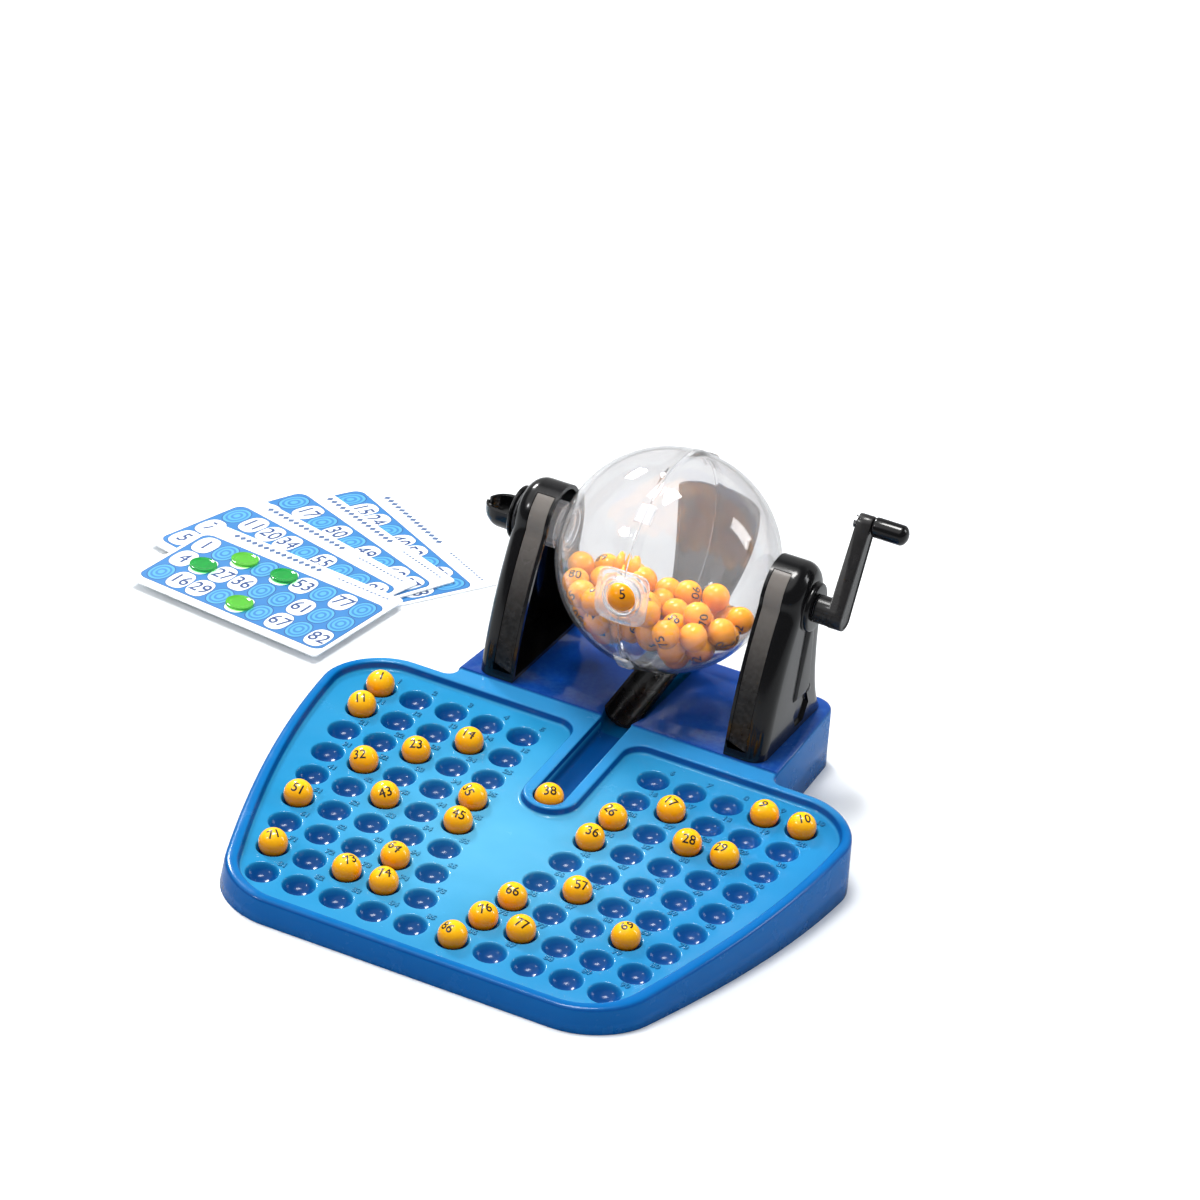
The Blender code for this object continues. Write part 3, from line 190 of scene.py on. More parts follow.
def roundCorners(corners, steps):
    # corners: (x, y, radius); each one becomes an arc that meets its two sides
    points = []
    for index, (x, y, radius) in enumerate(corners):
        here = Vector((x, y))
        before = (Vector(corners[index - 1][:2]) - here).normalized()
        after = (Vector(corners[(index + 1) % len(corners)][:2]) - here).normalized()
        if radius <= 0:
            points.append((x, y))
            continue
        half = before.angle(after) / 2
        centre = here + (before + after).normalized() * (radius / sin(half))
        first = here + before * (radius / tan(half)) - centre
        last = here + after * (radius / tan(half)) - centre
        start = atan2(first.y, first.x)
        sweep = (atan2(last.y, last.x) - start + pi) % (2 * pi) - pi
        points += arcPoints(centre, radius, start, start + sweep, steps)
    return points


def rectangle(halfX, halfY, middleX=0.0, middleY=0.0):
    return [(middleX + a * halfX, middleY + b * halfY) for a, b in ((-1, -1), (1, -1), (1, 1), (-1, 1))]


def roundRectangle(halfX, halfY, middleY, radius, steps):
    return roundCorners([(x, y, radius) for x, y in rectangle(halfX, halfY, 0.0, middleY)], steps)


def offsetLoop(points, distance):
    moved = []
    for index in range(len(points)):
        here = Vector(points[index])
        before = (here - Vector(points[index - 1])).normalized()
        after = (Vector(points[(index + 1) % len(points)]) - here).normalized()
        normalBefore = Vector((before.y, -before.x))
        normalAfter = Vector((after.y, -after.x))
        mitre = (normalBefore + normalAfter).normalized()
        moved.append(tuple(here + mitre * (distance / mitre.dot(normalAfter))))
    return moved


def latheX(bm, profile, sides, centre=(axleY, axleHeight), capped=False):
    # profile: (x, radius) pairs, turned round an axis along X
    rings = [ringOf(bm, [(x, centre[0] + a, centre[1] + b) for a, b in circlePoints(radius, sides)])
             for x, radius in profile]
    skinRings(bm, rings, capped=capped)
    return rings


def turnedX(profile, sides, centre=(axleY, axleHeight)):
    bm = bmesh.new()
    latheX(bm, profile, sides, centre, capped=True)
    return bm


def sleeveX(outer, inner, sides):
    bm = bmesh.new()
    outerRings, innerRings = latheX(bm, outer, sides), latheX(bm, inner, sides)
    for end in (0, -1):
        bridge(bm, outerRings[end], innerRings[end])
    return bm


def prismX(points, xFrom, xTo):
    bm = bmesh.new()
    skinRings(bm, [ringOf(bm, [(x, y, z) for y, z in points]) for x in (xFrom, xTo)], capped=True)
    return bm


def prismZ(points, zFrom, zTo):
    bm = bmesh.new()
    skinRings(bm, [ringOf(bm, [(x, y, z) for x, y in points]) for z in (zFrom, zTo)], capped=True)
    return bm


def softenEdges(bm, width, segments=3, above=35):
    # rounds every edge that is sharper than the given angle
    edges = [edge for edge in bm.edges
             if len(edge.link_faces) == 2 and edge.calc_face_angle(0.0) > radians(above)]
    bmesh.ops.bevel(bm, geom=edges, offset=width, segments=segments, profile=0.5,
                    affect="EDGES", clamp_overlap=True)
    return bm


# Colours are written as on a screen, from 0 to 255, and turned into linear light here

def paint(red, green, blue):
    linear = []
    for value in (red, green, blue):
        value = value / 255
        linear.append(value / 12.92 if value <= 0.04045 else ((value + 0.055) / 1.055) ** 2.4)
    return (*linear, 1.0)


# Node tools and the shared groups

def addNode(tree, kind, **settings):
    node = tree.nodes.new(kind)
    for key, value in settings.items():
        setattr(node, key, value)
    return node


def feed(tree, source, target):
    tree.links.new(source, target)


def mathNode(tree, operation, first, second=None, clamp=False):
    node = addNode(tree, "ShaderNodeMath", operation=operation, use_clamp=clamp)
    for index, value in enumerate((first, second)):
        if value is None:
            continue
        if hasattr(value, "is_output"):
            feed(tree, value, node.inputs[index])
        else:
            node.inputs[index].default_value = value
    return node.outputs[0]


def noiseNode(tree, vector, scale, detail=3.0, roughness=0.5):
    node = addNode(tree, "ShaderNodeTexNoise")
    node.inputs["Scale"].default_value = scale
    node.inputs["Detail"].default_value = detail
    node.inputs["Roughness"].default_value = roughness
    feed(tree, vector, node.inputs["Vector"])
    return node.outputs["Fac"]


def rangeNode(tree, value, fromLow, fromHigh, toLow, toHigh):
    node = addNode(tree, "ShaderNodeMapRange", clamp=True)
    for key, number in (("From Min", fromLow), ("From Max", fromHigh), ("To Min", toLow), ("To Max", toHigh)):
        if hasattr(number, "is_output"):
            feed(tree, number, node.inputs[key])
        else:
            node.inputs[key].default_value = number
    feed(tree, value, node.inputs["Value"])
    return node.outputs["Result"]


def mixColour(tree, factor, first, second):
    node = addNode(tree, "ShaderNodeMix", data_type="RGBA")
    for socket, value in ((node.inputs[0], factor), (node.inputs[6], first), (node.inputs[7], second)):
        if hasattr(value, "is_output"):
            feed(tree, value, socket)
        else:
            socket.default_value = value
    return node.outputs[2]


def product(tree, first, *others):
    for other in others:
        first = mathNode(tree, "MULTIPLY", first, other)
    return first


def objectPlace(tree):
    return addNode(tree, "ShaderNodeTexCoord").outputs["Object"]


def axesOf(tree, vector):
    split = addNode(tree, "ShaderNodeSeparateXYZ")
    feed(tree, vector, split.inputs[0])
    return split.outputs


def newGroup(name, inputs, outputs):
    group = bpy.data.node_groups.new(name, "ShaderNodeTree")
    for label, kind, value in inputs:
        socket = group.interface.new_socket(label, in_out="INPUT", socket_type=kind)
        socket.default_value = value
    for label, kind in outputs:
        group.interface.new_socket(label, in_out="OUTPUT", socket_type=kind)
    return group, addNode(group, "NodeGroupInput"), addNode(group, "NodeGroupOutput")


def buildHandledPlastic():
    # moulded plastic that has been played with: rubbed edges, soft mottle, smudges, fine grain
    group, given, made = newGroup(
        "handledPlastic",
        (("Colour", "NodeSocketColor", (0.5, 0.5, 0.5, 1)), ("Rubbed Colour", "NodeSocketColor", (0.8, 0.8, 0.8, 1)),
         ("Wear", "NodeSocketFloat", 0.3), ("Mottle", "NodeSocketFloat", 0.06),
         ("Smooth", "NodeSocketFloat", 0.12), ("Smudged", "NodeSocketFloat", 0.3)),
        (("Colour", "NodeSocketColor"), ("Roughness", "NodeSocketFloat"), ("Height", "NodeSocketFloat")))
    place = objectPlace(group)
    edge = addNode(group, "ShaderNodeNewGeometry").outputs["Pointiness"]
    broken = noiseNode(group, place, 420.0, 4.0)
    rubbed = product(group, rangeNode(group, edge, 0.53, 0.64, 0.0, 1.0),
                     rangeNode(group, broken, 0.38, 0.62, 0.2, 1.0))
    rubbed = mathNode(group, "MULTIPLY", rubbed, given.outputs["Wear"], clamp=True)
    cloud = noiseNode(group, place, 38.0, 3.0)
    shade = rangeNode(group, cloud, 0.3, 0.7, 0.0, 1.0)
    darker = mixColour(group, given.outputs["Mottle"], given.outputs["Colour"], (0.0, 0.0, 0.0, 1.0))
    mottled = mixColour(group, shade, darker, given.outputs["Colour"])
    feed(group, mixColour(group, rubbed, mottled, given.outputs["Rubbed Colour"]), made.inputs["Colour"])
    smudge = rangeNode(group, noiseNode(group, place, 75.0, 5.0, 0.62), 0.5, 0.72, 0.0, 1.0)
    rough = rangeNode(group, smudge, 0.0, 1.0, given.outputs["Smooth"], given.outputs["Smudged"])
    rough = mathNode(group, "ADD", rough, product(group, rubbed, 0.2), clamp=True)
    feed(group, rough, made.inputs["Roughness"])
    grain = noiseNode(group, place, 1500.0, 2.0)
    wave = noiseNode(group, place, 60.0, 1.0)
    height = mathNode(group, "ADD", product(group, grain, 0.06), wave)
    feed(group, height, made.inputs["Height"])
    return group


def buildPaperFibre():
    # coated card: short fibres, a slight warm mottle, a soft sheen that breaks up
    group, given, made = newGroup(
        "paperFibre",
        (("Colour", "NodeSocketColor", (0.8, 0.8, 0.8, 1)), ("Mottle", "NodeSocketFloat", 0.05),
         ("Roughness", "NodeSocketFloat", 0.5)),
        (("Colour", "NodeSocketColor"), ("Roughness", "NodeSocketFloat"), ("Height", "NodeSocketFloat")))
    place = objectPlace(group)
    fibre = noiseNode(group, place, 2600.0, 4.0, 0.65)
    cloud = noiseNode(group, place, 90.0, 3.0)
    darker = mixColour(group, given.outputs["Mottle"], given.outputs["Colour"], (0.25, 0.22, 0.18, 1.0))
    blend = mathNode(group, "ADD", product(group, fibre, 0.5), product(group, cloud, 0.5))
    feed(group, mixColour(group, rangeNode(group, blend, 0.35, 0.65, 0.0, 1.0), darker, given.outputs["Colour"]),
         made.inputs["Colour"])
    rough = mathNode(group, "ADD", given.outputs["Roughness"], rangeNode(group, cloud, 0.3, 0.7, -0.06, 0.08))
    feed(group, rough, made.inputs["Roughness"])
    feed(group, fibre, made.inputs["Height"])
    return group


def buildFloorLevel():
    # how far a point lies over the tray's sloping floor, in metres, and where the deck begins
    group, given, made = newGroup(
        "floorLevel", (), (("Over Floor", "NodeSocketFloat"), ("On Deck", "NodeSocketFloat")))
    axes = axesOf(group, objectPlace(group))
    startY = layout["floorFrontY"] + gameShift.y
    rise = product(group, mathNode(group, "SUBTRACT", axes["Y"], startY), tan(layout["slope"]))
    plane = mathNode(group, "ADD", rise, layout["floorFrontHeight"])
    feed(group, mathNode(group, "SUBTRACT", axes["Z"], plane), made.inputs["Over Floor"])
    stepY = layout["stepY"] + gameShift.y
    feed(group, rangeNode(group, axes["Y"], stepY - 0.0004, stepY + 0.0004, 0.0, 1.0), made.inputs["On Deck"])
    return group


handledPlastic = buildHandledPlastic()
paperFibre = buildPaperFibre()
floorLevel = buildFloorLevel()


def newMaterial(name):
    material = bpy.data.materials.new(name)
    material.use_nodes = True
    tree = material.node_tree
    return material, tree, tree.nodes["Principled BSDF"], tree.nodes["Material Output"]


def placeGroup(tree, group, **values):
    node = addNode(tree, "ShaderNodeGroup", node_tree=group)
    for label, value in values.items():
        node.inputs[label.replace("_", " ")].default_value = value
    return node


def dress(tree, surface, shader, strength, distance, plain):
    # the surface group feeds the shader; the plain values are set on the shader's own sockets
    feed(tree, surface.outputs["Colour"], shader.inputs["Base Color"])
    feed(tree, surface.outputs["Roughness"], shader.inputs["Roughness"])
    for label, value in plain.items():
        shader.inputs[label].default_value = value
    bump = addNode(tree, "ShaderNodeBump")
    bump.inputs["Strength"].default_value = strength
    bump.inputs["Distance"].default_value = distance
    feed(tree, surface.outputs["Height"], bump.inputs["Height"])
    feed(tree, bump.outputs["Normal"], shader.inputs["Normal"])


def colourRamp(tree, value, stops):
    # stops: (place, colour) pairs over the value's own range
    low, high = stops[0][0], stops[-1][0]
    ramp = addNode(tree, "ShaderNodeValToRGB")
    while len(ramp.color_ramp.elements) < len(stops):
        ramp.color_ramp.elements.new(0.5)
    for element, (place, colour) in zip(ramp.color_ramp.elements, stops):
        element.position = (place - low) / (high - low)
        element.color = colour
    feed(tree, rangeNode(tree, value, low, high, 0.0, 1.0), ramp.inputs["Fac"])
    return ramp.outputs["Color"]


def plasticMaterial(name, look):
    # stops paint light and shade into the colour by height, and what faces down takes a darker painted shade colour
    material, tree, shader, output = newMaterial(name)
    surface = placeGroup(tree, handledPlastic, Colour=look["colour"], Rubbed_Colour=look["rubbed"], Wear=look["wear"],
                         Mottle=look["mottle"], Smooth=look["smooth"], Smudged=look["smudged"])
    if "stops" in look:
        feed(tree, colourRamp(tree, axesOf(tree, objectPlace(tree))["Z"], look["stops"]), surface.inputs["Colour"])
    if "under" in look:
        facing = axesOf(tree, addNode(tree, "ShaderNodeNewGeometry").outputs["Normal"])
        upward = rangeNode(tree, facing["Z"], -0.1, 0.85, 0.0, 1.0)
        feed(tree, mixColour(tree, upward, look["under"], look["colour"]), surface.inputs["Colour"])
    dress(tree, surface, shader, look["bump"], 0.0004,
          {"Metallic": look.get("metal", 0.0), "Coat Weight": look["coat"], "Coat Roughness": 0.04,
           "Specular IOR Level": look.get("shine", 0.4), "IOR": 1.49})
    return material


# Finishes of the moulded parts; wear to bump are how strongly each shows
finishes = {
    "glossBlack": {"colour": paint(11, 11, 13), "rubbed": paint(60, 60, 64), "wear": 0.15, "mottle": 0.1,
                   "smooth": 0.18, "smudged": 0.21, "coat": 0.2, "bump": 0.012, "shine": 0.3},
    "standPanelGrey": {"colour": paint(92, 86, 82), "rubbed": paint(130, 128, 126), "wear": 0.15, "mottle": 0.06,
                       "smooth": 0.24, "smudged": 0.32, "coat": 0.05, "bump": 0.02, "shine": 0.2,
                       # the panel is black at its foot and paler towards its top: painted reflection
                       "stops": ((0.040, paint(10, 10, 10)), (0.058, paint(20, 19, 19)), (0.072, paint(58, 55, 53)),
                                 (0.086, paint(84, 80, 77)), (0.104, paint(112, 107, 103)))},
    "armGrey": {"colour": paint(34, 33, 34), "rubbed": paint(100, 98, 98), "wear": 0.25, "mottle": 0.15,
                "smooth": 0.24, "smudged": 0.34, "coat": 0.1, "bump": 0.03, "shine": 0.3},
    # the balls turn darker and more orange where they face down: painted shade
    "ballYellow": {"colour": paint(255, 196, 16), "rubbed": paint(255, 205, 80), "wear": 0.1, "mottle": 0.05,
                   "smooth": 0.16, "smudged": 0.26, "coat": 0.25, "bump": 0.03, "shine": 0.3,
                   "under": paint(255, 146, 0)},
    # the balls in the globe are a darker, more orange copy of the ball colour: painted shade
    "heapShadedOrange": {"colour": paint(228, 148, 0), "rubbed": paint(250, 170, 50), "wear": 0.1, "mottle": 0.08,
                   "smooth": 0.20, "smudged": 0.32, "coat": 0.15, "bump": 0.03, "shine": 0.3,
                   "under": paint(216, 126, 0)},
    "scoopBlack": {"colour": paint(22, 22, 24), "rubbed": paint(70, 70, 74), "wear": 0.08, "mottle": 0.05,
                   "smooth": 0.26, "smudged": 0.36, "coat": 0.25, "bump": 0.03, "shine": 0.2,
                   # the scoop is paler and bluer towards its top: painted light, for the globe's haze in front of it
                   # and against the orange light of the balls
                   "stops": ((0.040, paint(17, 17, 18)), (0.060, paint(28, 30, 34)), (0.100, paint(52, 58, 68)))},
    "numberInk": {"colour": paint(44, 30, 20), "rubbed": paint(60, 56, 60), "wear": 0.2, "mottle": 0.2,
                  "smooth": 0.35, "smudged": 0.5, "coat": 0.0, "bump": 0.02},
    "bushGrey": {"colour": paint(62, 62, 66), "rubbed": paint(120, 120, 124), "wear": 0.4, "mottle": 0.2,
                 "smooth": 0.38, "smudged": 0.5, "coat": 0.0, "bump": 0.08},
    "pinSteel": {"colour": paint(196, 197, 200), "rubbed": paint(230, 230, 232), "wear": 0.5, "mottle": 0.15,
                 "smooth": 0.22, "smudged": 0.38, "coat": 0.0, "bump": 0.05, "metal": 1.0},
}
plastics = {name: plasticMaterial(name, look) for name, look in finishes.items()}


def lampsPass(tree, shader, output, share):
    # light on its way to what lies behind passes the clear wall instead of being stopped by it
    mixer = addNode(tree, "ShaderNodeMixShader")
    clear = addNode(tree, "ShaderNodeBsdfTransparent")
    clear.inputs["Color"].default_value = (*share, 1.0)
    feed(tree, addNode(tree, "ShaderNodeLightPath").outputs["Is Shadow Ray"], mixer.inputs["Fac"])
    feed(tree, shader.outputs["BSDF"], mixer.inputs[1])
    feed(tree, clear.outputs["BSDF"], mixer.inputs[2])
    feed(tree, mixer.outputs["Shader"], output.inputs["Surface"])


# Clear plastics: share is how much lamp light passes to what lies behind
clearLooks = {
    "clearGlobe": {"colour": (0.96, 0.962, 0.97, 1.0), "rubbed": (0.9, 0.9, 0.92, 1.0), "smooth": 0.012,
                   "smudged": 0.04, "bump": 0.03, "share": (0.93, 0.94, 0.95), "through": 0.965},
    "clearFitting": {"colour": (0.97, 0.975, 0.985, 1.0), "rubbed": (0.9, 0.9, 0.92, 1.0), "smooth": 0.02,
                     "smudged": 0.10, "bump": 0.6, "share": (0.9, 0.91, 0.93), "through": 0.85},
    "chipGreen": {"colour": paint(34, 158, 72), "rubbed": paint(120, 210, 140), "smooth": 0.10,
                  "smudged": 0.26, "bump": 0.12, "share": (0.25, 0.75, 0.35), "through": 0.35},
    "chipLime": {"colour": paint(96, 184, 66), "rubbed": paint(160, 220, 120), "smooth": 0.10,
                 "smudged": 0.26, "bump": 0.12, "share": (0.5, 0.85, 0.35), "through": 0.35},
}


def clearMaterial(name, look):
    material, tree, shader, output = newMaterial(name)
    surface = placeGroup(tree, handledPlastic, Colour=look["colour"], Rubbed_Colour=look["rubbed"], Wear=0.1,
                         Mottle=0.02, Smooth=look["smooth"], Smudged=look["smudged"])
    dress(tree, surface, shader, look["bump"], 0.0006,
          {"Transmission Weight": look["through"], "IOR": 1.46, "Metallic": 0.0})
    lampsPass(tree, shader, output, look["share"])
    return material


clears = {name: clearMaterial(name, look) for name, look in clearLooks.items()}


# Tray plastic: the colour deepens into the pits and along the rim's inner wall, a painted shade in these hollows
trayColours = {
    "paintedDepthShade": ((-0.0055, paint(0, 54, 116)), (-0.0030, paint(0, 74, 140)), (-0.0014, paint(10, 108, 168)),
              (-0.0003, paint(24, 128, 182)), (0.0003, paint(36, 140, 192)), (0.0010, paint(0, 78, 146)),
              (0.0028, paint(0, 70, 138)), (0.0036, paint(0, 106, 174))),
    # cloud is the pale colour of a random cloudiness and of the painted reflection in the middle of the tray
    "deck": paint(8, 60, 144), "deckLow": paint(0, 84, 138), "cloud": paint(106, 188, 220),
    # right is a darker, bluer colour laid towards the tray's right side: painted shade
    "right": paint(30, 98, 182), "land": paint(48, 136, 194), "skirtTop": paint(0, 98, 168),
    # the skirt darkens from its top down to its foot: painted shade
    "skirtFootShade": paint(0, 80, 148), "skirtTopZ": 0.03,
    "paintedReflection": (Vector((0.0, 0.095, 0.018)), 0.015, 0.10, 0.55),  # centre, near, far, strength of a pale patch: painted reflection
    "landDepth": (0.020, 0.012), "tongueSide": (0.022, 0.026), "tongueFront": (0.09, 0.08),
    "coatDeck": 0.3, "coatFloor": 0.12,
}


def trayMaterial(name, darken=1.0):
    material, tree, shader, output = newMaterial(name)
    level = placeGroup(tree, floorLevel).outputs
    place = objectPlace(tree)
    axes = axesOf(tree, place)
    # painted shade: darker down into the pits and on the rim's inner wall
    paintedDepthShade = colourRamp(tree, level["Over Floor"], [(height, tuple(part * darken for part in colour[:3]) + (1.0,))
                                                   for height, colour in trayColours["paintedDepthShade"]])
    deckZ = layout["deckHeight"]
    deckTop = rangeNode(tree, axes["Z"], deckZ - 0.0014, deckZ - 0.0004, 0.0, 1.0)
    onDeck = mixColour(tree, deckTop, trayColours["deckLow"], trayColours["deck"])
    coloured = mixColour(tree, level["On Deck"], paintedDepthShade, onDeck)
    # the plastic is paler in random clouds, and paler still in the middle of the tray: painted reflection
    centre, near, far, strength = trayColours["paintedReflection"]
    reach = addNode(tree, "ShaderNodeVectorMath", operation="DISTANCE")
    feed(tree, place, reach.inputs[0])
    reach.inputs[1].default_value = centre + gameShift
    cloud = rangeNode(tree, noiseNode(tree, place, 14.0, 2.0), 0.3, 0.7, 0.0, 0.10)
    cloud = mathNode(tree, "MAXIMUM", cloud, rangeNode(tree, reach.outputs["Value"], near, far, strength, 0.0))
    raised = rangeNode(tree, level["Over Floor"], 0.0003, 0.0010, 1.0, 0.0)
    sunk = rangeNode(tree, level["Over Floor"], -0.0012, -0.0003, 0.1, 1.0)
    offDeck = mathNode(tree, "SUBTRACT", 1.0, level["On Deck"])
    coloured = mixColour(tree, product(tree, cloud, raised, sunk, offDeck), coloured, trayColours["cloud"])
    # the land along the deck and round the channel is as pale as the floor
    stepY = layout["stepY"] + gameShift.y
    behind, before = trayColours["landDepth"]
    alongDeck = rangeNode(tree, axes["Y"], stepY - behind, stepY - before, 0.0, 1.0)
    aside = mathNode(tree, "ABSOLUTE", mathNode(tree, "SUBTRACT", axes["X"], gameShift.x))
    near, far = trayColours["tongueFront"]
    inTongue = product(tree, rangeNode(tree, aside, *trayColours["tongueSide"], 1.0, 0.0),
                       rangeNode(tree, axes["Y"], stepY - near, stepY - far, 0.0, 1.0))
    onLand = rangeNode(tree, level["Over Floor"], 0.0030, 0.0035, 0.0, 1.0)
    pale = product(tree, mathNode(tree, "MAXIMUM", alongDeck, inTongue), onLand, offDeck)
    coloured = mixColour(tree, pale, coloured, trayColours["land"])
    # the tray turns darker and bluer towards its right side: painted shade
    right = rangeNode(tree, axes["X"], gameShift.x - 0.02, gameShift.x + 0.13, 0.0, 0.22)
    coloured = mixColour(tree, right, coloured, trayColours["right"])
    surface = placeGroup(tree, handledPlastic, Rubbed_Colour=paint(110, 190, 235), Wear=0.18, Mottle=0.05,
                         Smooth=0.16, Smudged=0.30)
    feed(tree, coloured, surface.inputs["Colour"])
    feed(tree, rangeNode(tree, level["On Deck"], 0.0, 1.0, trayColours["coatFloor"], trayColours["coatDeck"]),
         shader.inputs["Coat Weight"])
    dress(tree, surface, shader, 0.10, 0.0004,
          {"Transmission Weight": 0.03, "Specular IOR Level": 0.1, "Coat Roughness": 0.03, "IOR": 1.5})
    return material


def skirtMaterial():
    material, tree, shader, output = newMaterial("traySkirt")
    surface = placeGroup(tree, handledPlastic, Rubbed_Colour=paint(40, 140, 205), Wear=0.2, Mottle=0.03,
                         Smooth=0.22, Smudged=0.36)
    # the skirt darkens from its top down to its foot: painted shade
    stops = ((0.0, trayColours["skirtFootShade"]), (trayColours["skirtTopZ"], trayColours["skirtTop"]))
    feed(tree, colourRamp(tree, axesOf(tree, objectPlace(tree))["Z"], stops), surface.inputs["Colour"])
    dress(tree, surface, shader, 0.08, 0.0004, {"Specular IOR Level": 0.1, "Coat Weight": 0.04})
    return material


trayBlue = trayMaterial("trayBlue")
traySkirt = skirtMaterial()
pitNumberBlue = trayMaterial("pitNumberBlue", 0.7)
print("materials made")


# The tray
tray = {
    "pitRows": 9, "pitColumns": 5, "pitPitch": 0.018, "rowPitch": 0.0187, "innerColumnX": 0.0323,
    "columnLean": 0.0028, "columnBow": 0.0051, "pitSides": 28,
    "pitRings": ((0.0080, 0.0), (0.0077, 0.00006), (0.0074, 0.00028), (0.0071, 0.0009), (0.0067, 0.0019),
                 (0.0059, 0.0031), (0.0047, 0.0041), (0.0031, 0.0047), (0.0015, 0.00495)),
    "backHalf": 0.124, "frontHalf": 0.0873, "sideBow": 0.0092, "backCorner": 0.020, "frontCorner": 0.024,
    "cornerSteps": 14, "sideSteps": 16, "wall": 0.0014, "skirtDraft": 0.0011,
    "tongueHalf": 0.0135, "tongueLength": 0.0663, "tongueFillet": 0.009,
    "channelHalf": 0.0073, "channelFrontWall": 0.0036, "channelDepth": 0.0081,
    "wellHalf": 0.0096, "wellLength": 0.062,
    "deckStepRun": 0.0006, "deckLength": 0.075, "deckFrontHalf": 0.0795, "deckBackHalf": 0.076,
    "deckCorner": 0.010, "deckFillet": 0.005,
    # how the wall rises from the floor to the rim: (outwards, up)
    "wallRings": ((-0.0013, 0.0), (-0.0007, 0.00016), (-0.0002, 0.0006), (0.0002, 0.0014), (0.0004, 0.0023),
                  (0.0007, 0.0031), (0.0012, 0.0035), (0.0017, 0.0036)),
    # how the rim turns over into the skirt: (inwards, down)
    "edgeRings": ((0.0021, 0.0), (0.0012, 0.00018), (0.0005, 0.00065), (0.0001, 0.0014), (0.0, 0.0022)),
    # how the channel's edge turns down, and how its walls meet its bed
    "slotRings": ((0.0009, 0.0), (0.0004, 0.00012), (0.0001, 0.0004), (0.0, 0.0009)),
    "slotFoot": ((0.0002, 0.0016), (0.0006, 0.0006), (0.0015, 0.0001), (0.0024, 0.0)), "footLift": 0.0002,
    "tabSlot": (0.0030, 0.0096), "tabSpread": 0.0195,
}
tongueFront = floorBackY - tray["tongueLength"]
deckBackY = layout["stepY"] + tray["deckLength"]


def bowSide(point, halfLength):
    x, y = point
    middleHalf = (tray["backHalf"] + tray["frontHalf"]) / 2
    share = 1 - ((y - floorMiddleY) / halfLength) ** 2
    return (x * (1 + tray["sideBow"] / middleHalf * max(share, 0.0)), y)


def mirrored(rightHalf):
    return rightHalf + [(-x, y) for x, y in reversed(rightHalf) if x > 0.0001]


def trayRightSide(grow):
    half = layout["floorLength"] / 2 + grow
    front = (tray["frontHalf"] + grow, floorMiddleY - half)
    back = (tray["backHalf"] + grow, floorMiddleY + half)
    steps = tray["cornerSteps"]
    outline = roundCorners([(0.0, front[1], 0.0), (*front, tray["frontCorner"] + grow),
                            (*back, tray["backCorner"] + grow), (0.0, back[1], 0.0)], steps)
    frontCorner = outline[1:2 + steps]
    backCorner = outline[2 + steps:3 + 2 * steps]
    start, end = frontCorner[-1], backCorner[0]
    count = tray["sideSteps"]
    middle = [(start[0] + (end[0] - start[0]) * k / count, start[1] + (end[1] - start[1]) * k / count)
              for k in range(1, count)]
    return [bowSide(point, half) for point in [outline[0]] + frontCorner + middle + backCorner]


def floorLoop():
    steps = tray["cornerSteps"]
    fillet = arcPoints((tray["tongueHalf"] + tray["tongueFillet"], floorBackY - tray["tongueFillet"]),
                       tray["tongueFillet"], pi / 2, pi, steps - 4)
    nose = arcPoints((0.0, tongueFront + tray["tongueHalf"]), tray["tongueHalf"], 0.0, -pi / 2, steps - 2)
    return mirrored(trayRightSide(0.0) + fillet + nose)


def rimLoop():
    stepY, run = layout["stepY"], tray["deckStepRun"]
    right = trayRightSide(layout["rimWidth"])
    trayBackY = floorBackY + layout["rimWidth"]
    fillet = arcPoints((tray["deckFrontHalf"] + tray["deckFillet"], trayBackY + tray["deckFillet"]),
                       tray["deckFillet"], -pi / 2, -pi, tray["cornerSteps"] - 4)
    fillet = [(x, y) for x, y in fillet if y < stepY - run]
    lean = (tray["deckFrontHalf"] - tray["deckBackHalf"]) / tray["deckLength"]
    cornerY = deckBackY - tray["deckCorner"]
    cornerX = tray["deckFrontHalf"] - lean * (cornerY - stepY)
    corner = arcPoints((cornerX - tray["deckCorner"], cornerY), tray["deckCorner"], 0.0, pi / 2, 10)
    deck = [(tray["deckFrontHalf"], stepY), (tray["deckFrontHalf"], stepY + run)]
    return mirrored(right + fillet + deck + corner + [(0.0, deckBackY)])


def slotLoop():
    half = tray["channelHalf"]
    nose = arcPoints((0.0, tongueFront + tray["channelFrontWall"] + half), half, -pi / 2, 0.0, 12)
    start = layout["stepY"] + tray["deckStepRun"]
    right = nose + [(half, layout["stepY"]), (half, start), (tray["wellHalf"], start + tray["wellHalf"]),
                    (tray["wellHalf"], start + tray["wellLength"]), (0.0, start + tray["wellLength"])]
    return mirrored(right)


def landHeight(point):
    if point[1] > layout["stepY"] + tray["deckStepRun"] / 2:
        return layout["deckHeight"]
    return rimTop(point[1])


def pitCentre(side, column, row):
    middle = (tray["pitRows"] - 1) / 2
    bow = 1 - ((row - middle) / middle) ** 2
    x = tray["innerColumnX"] + column * tray["pitPitch"] - row * tray["columnLean"] + tray["columnBow"] * bow
    return (side * x, floorMiddleY - (row - middle) * tray["rowPitch"])


def allPits():
    pits = []
    for row in range(tray["pitRows"]):
        pits += [pitCentre(-1, tray["pitColumns"] - 1 - column, row) for column in range(tray["pitColumns"])]
        pits += [pitCentre(1, column, row) for column in range(tray["pitColumns"])]
    return pits


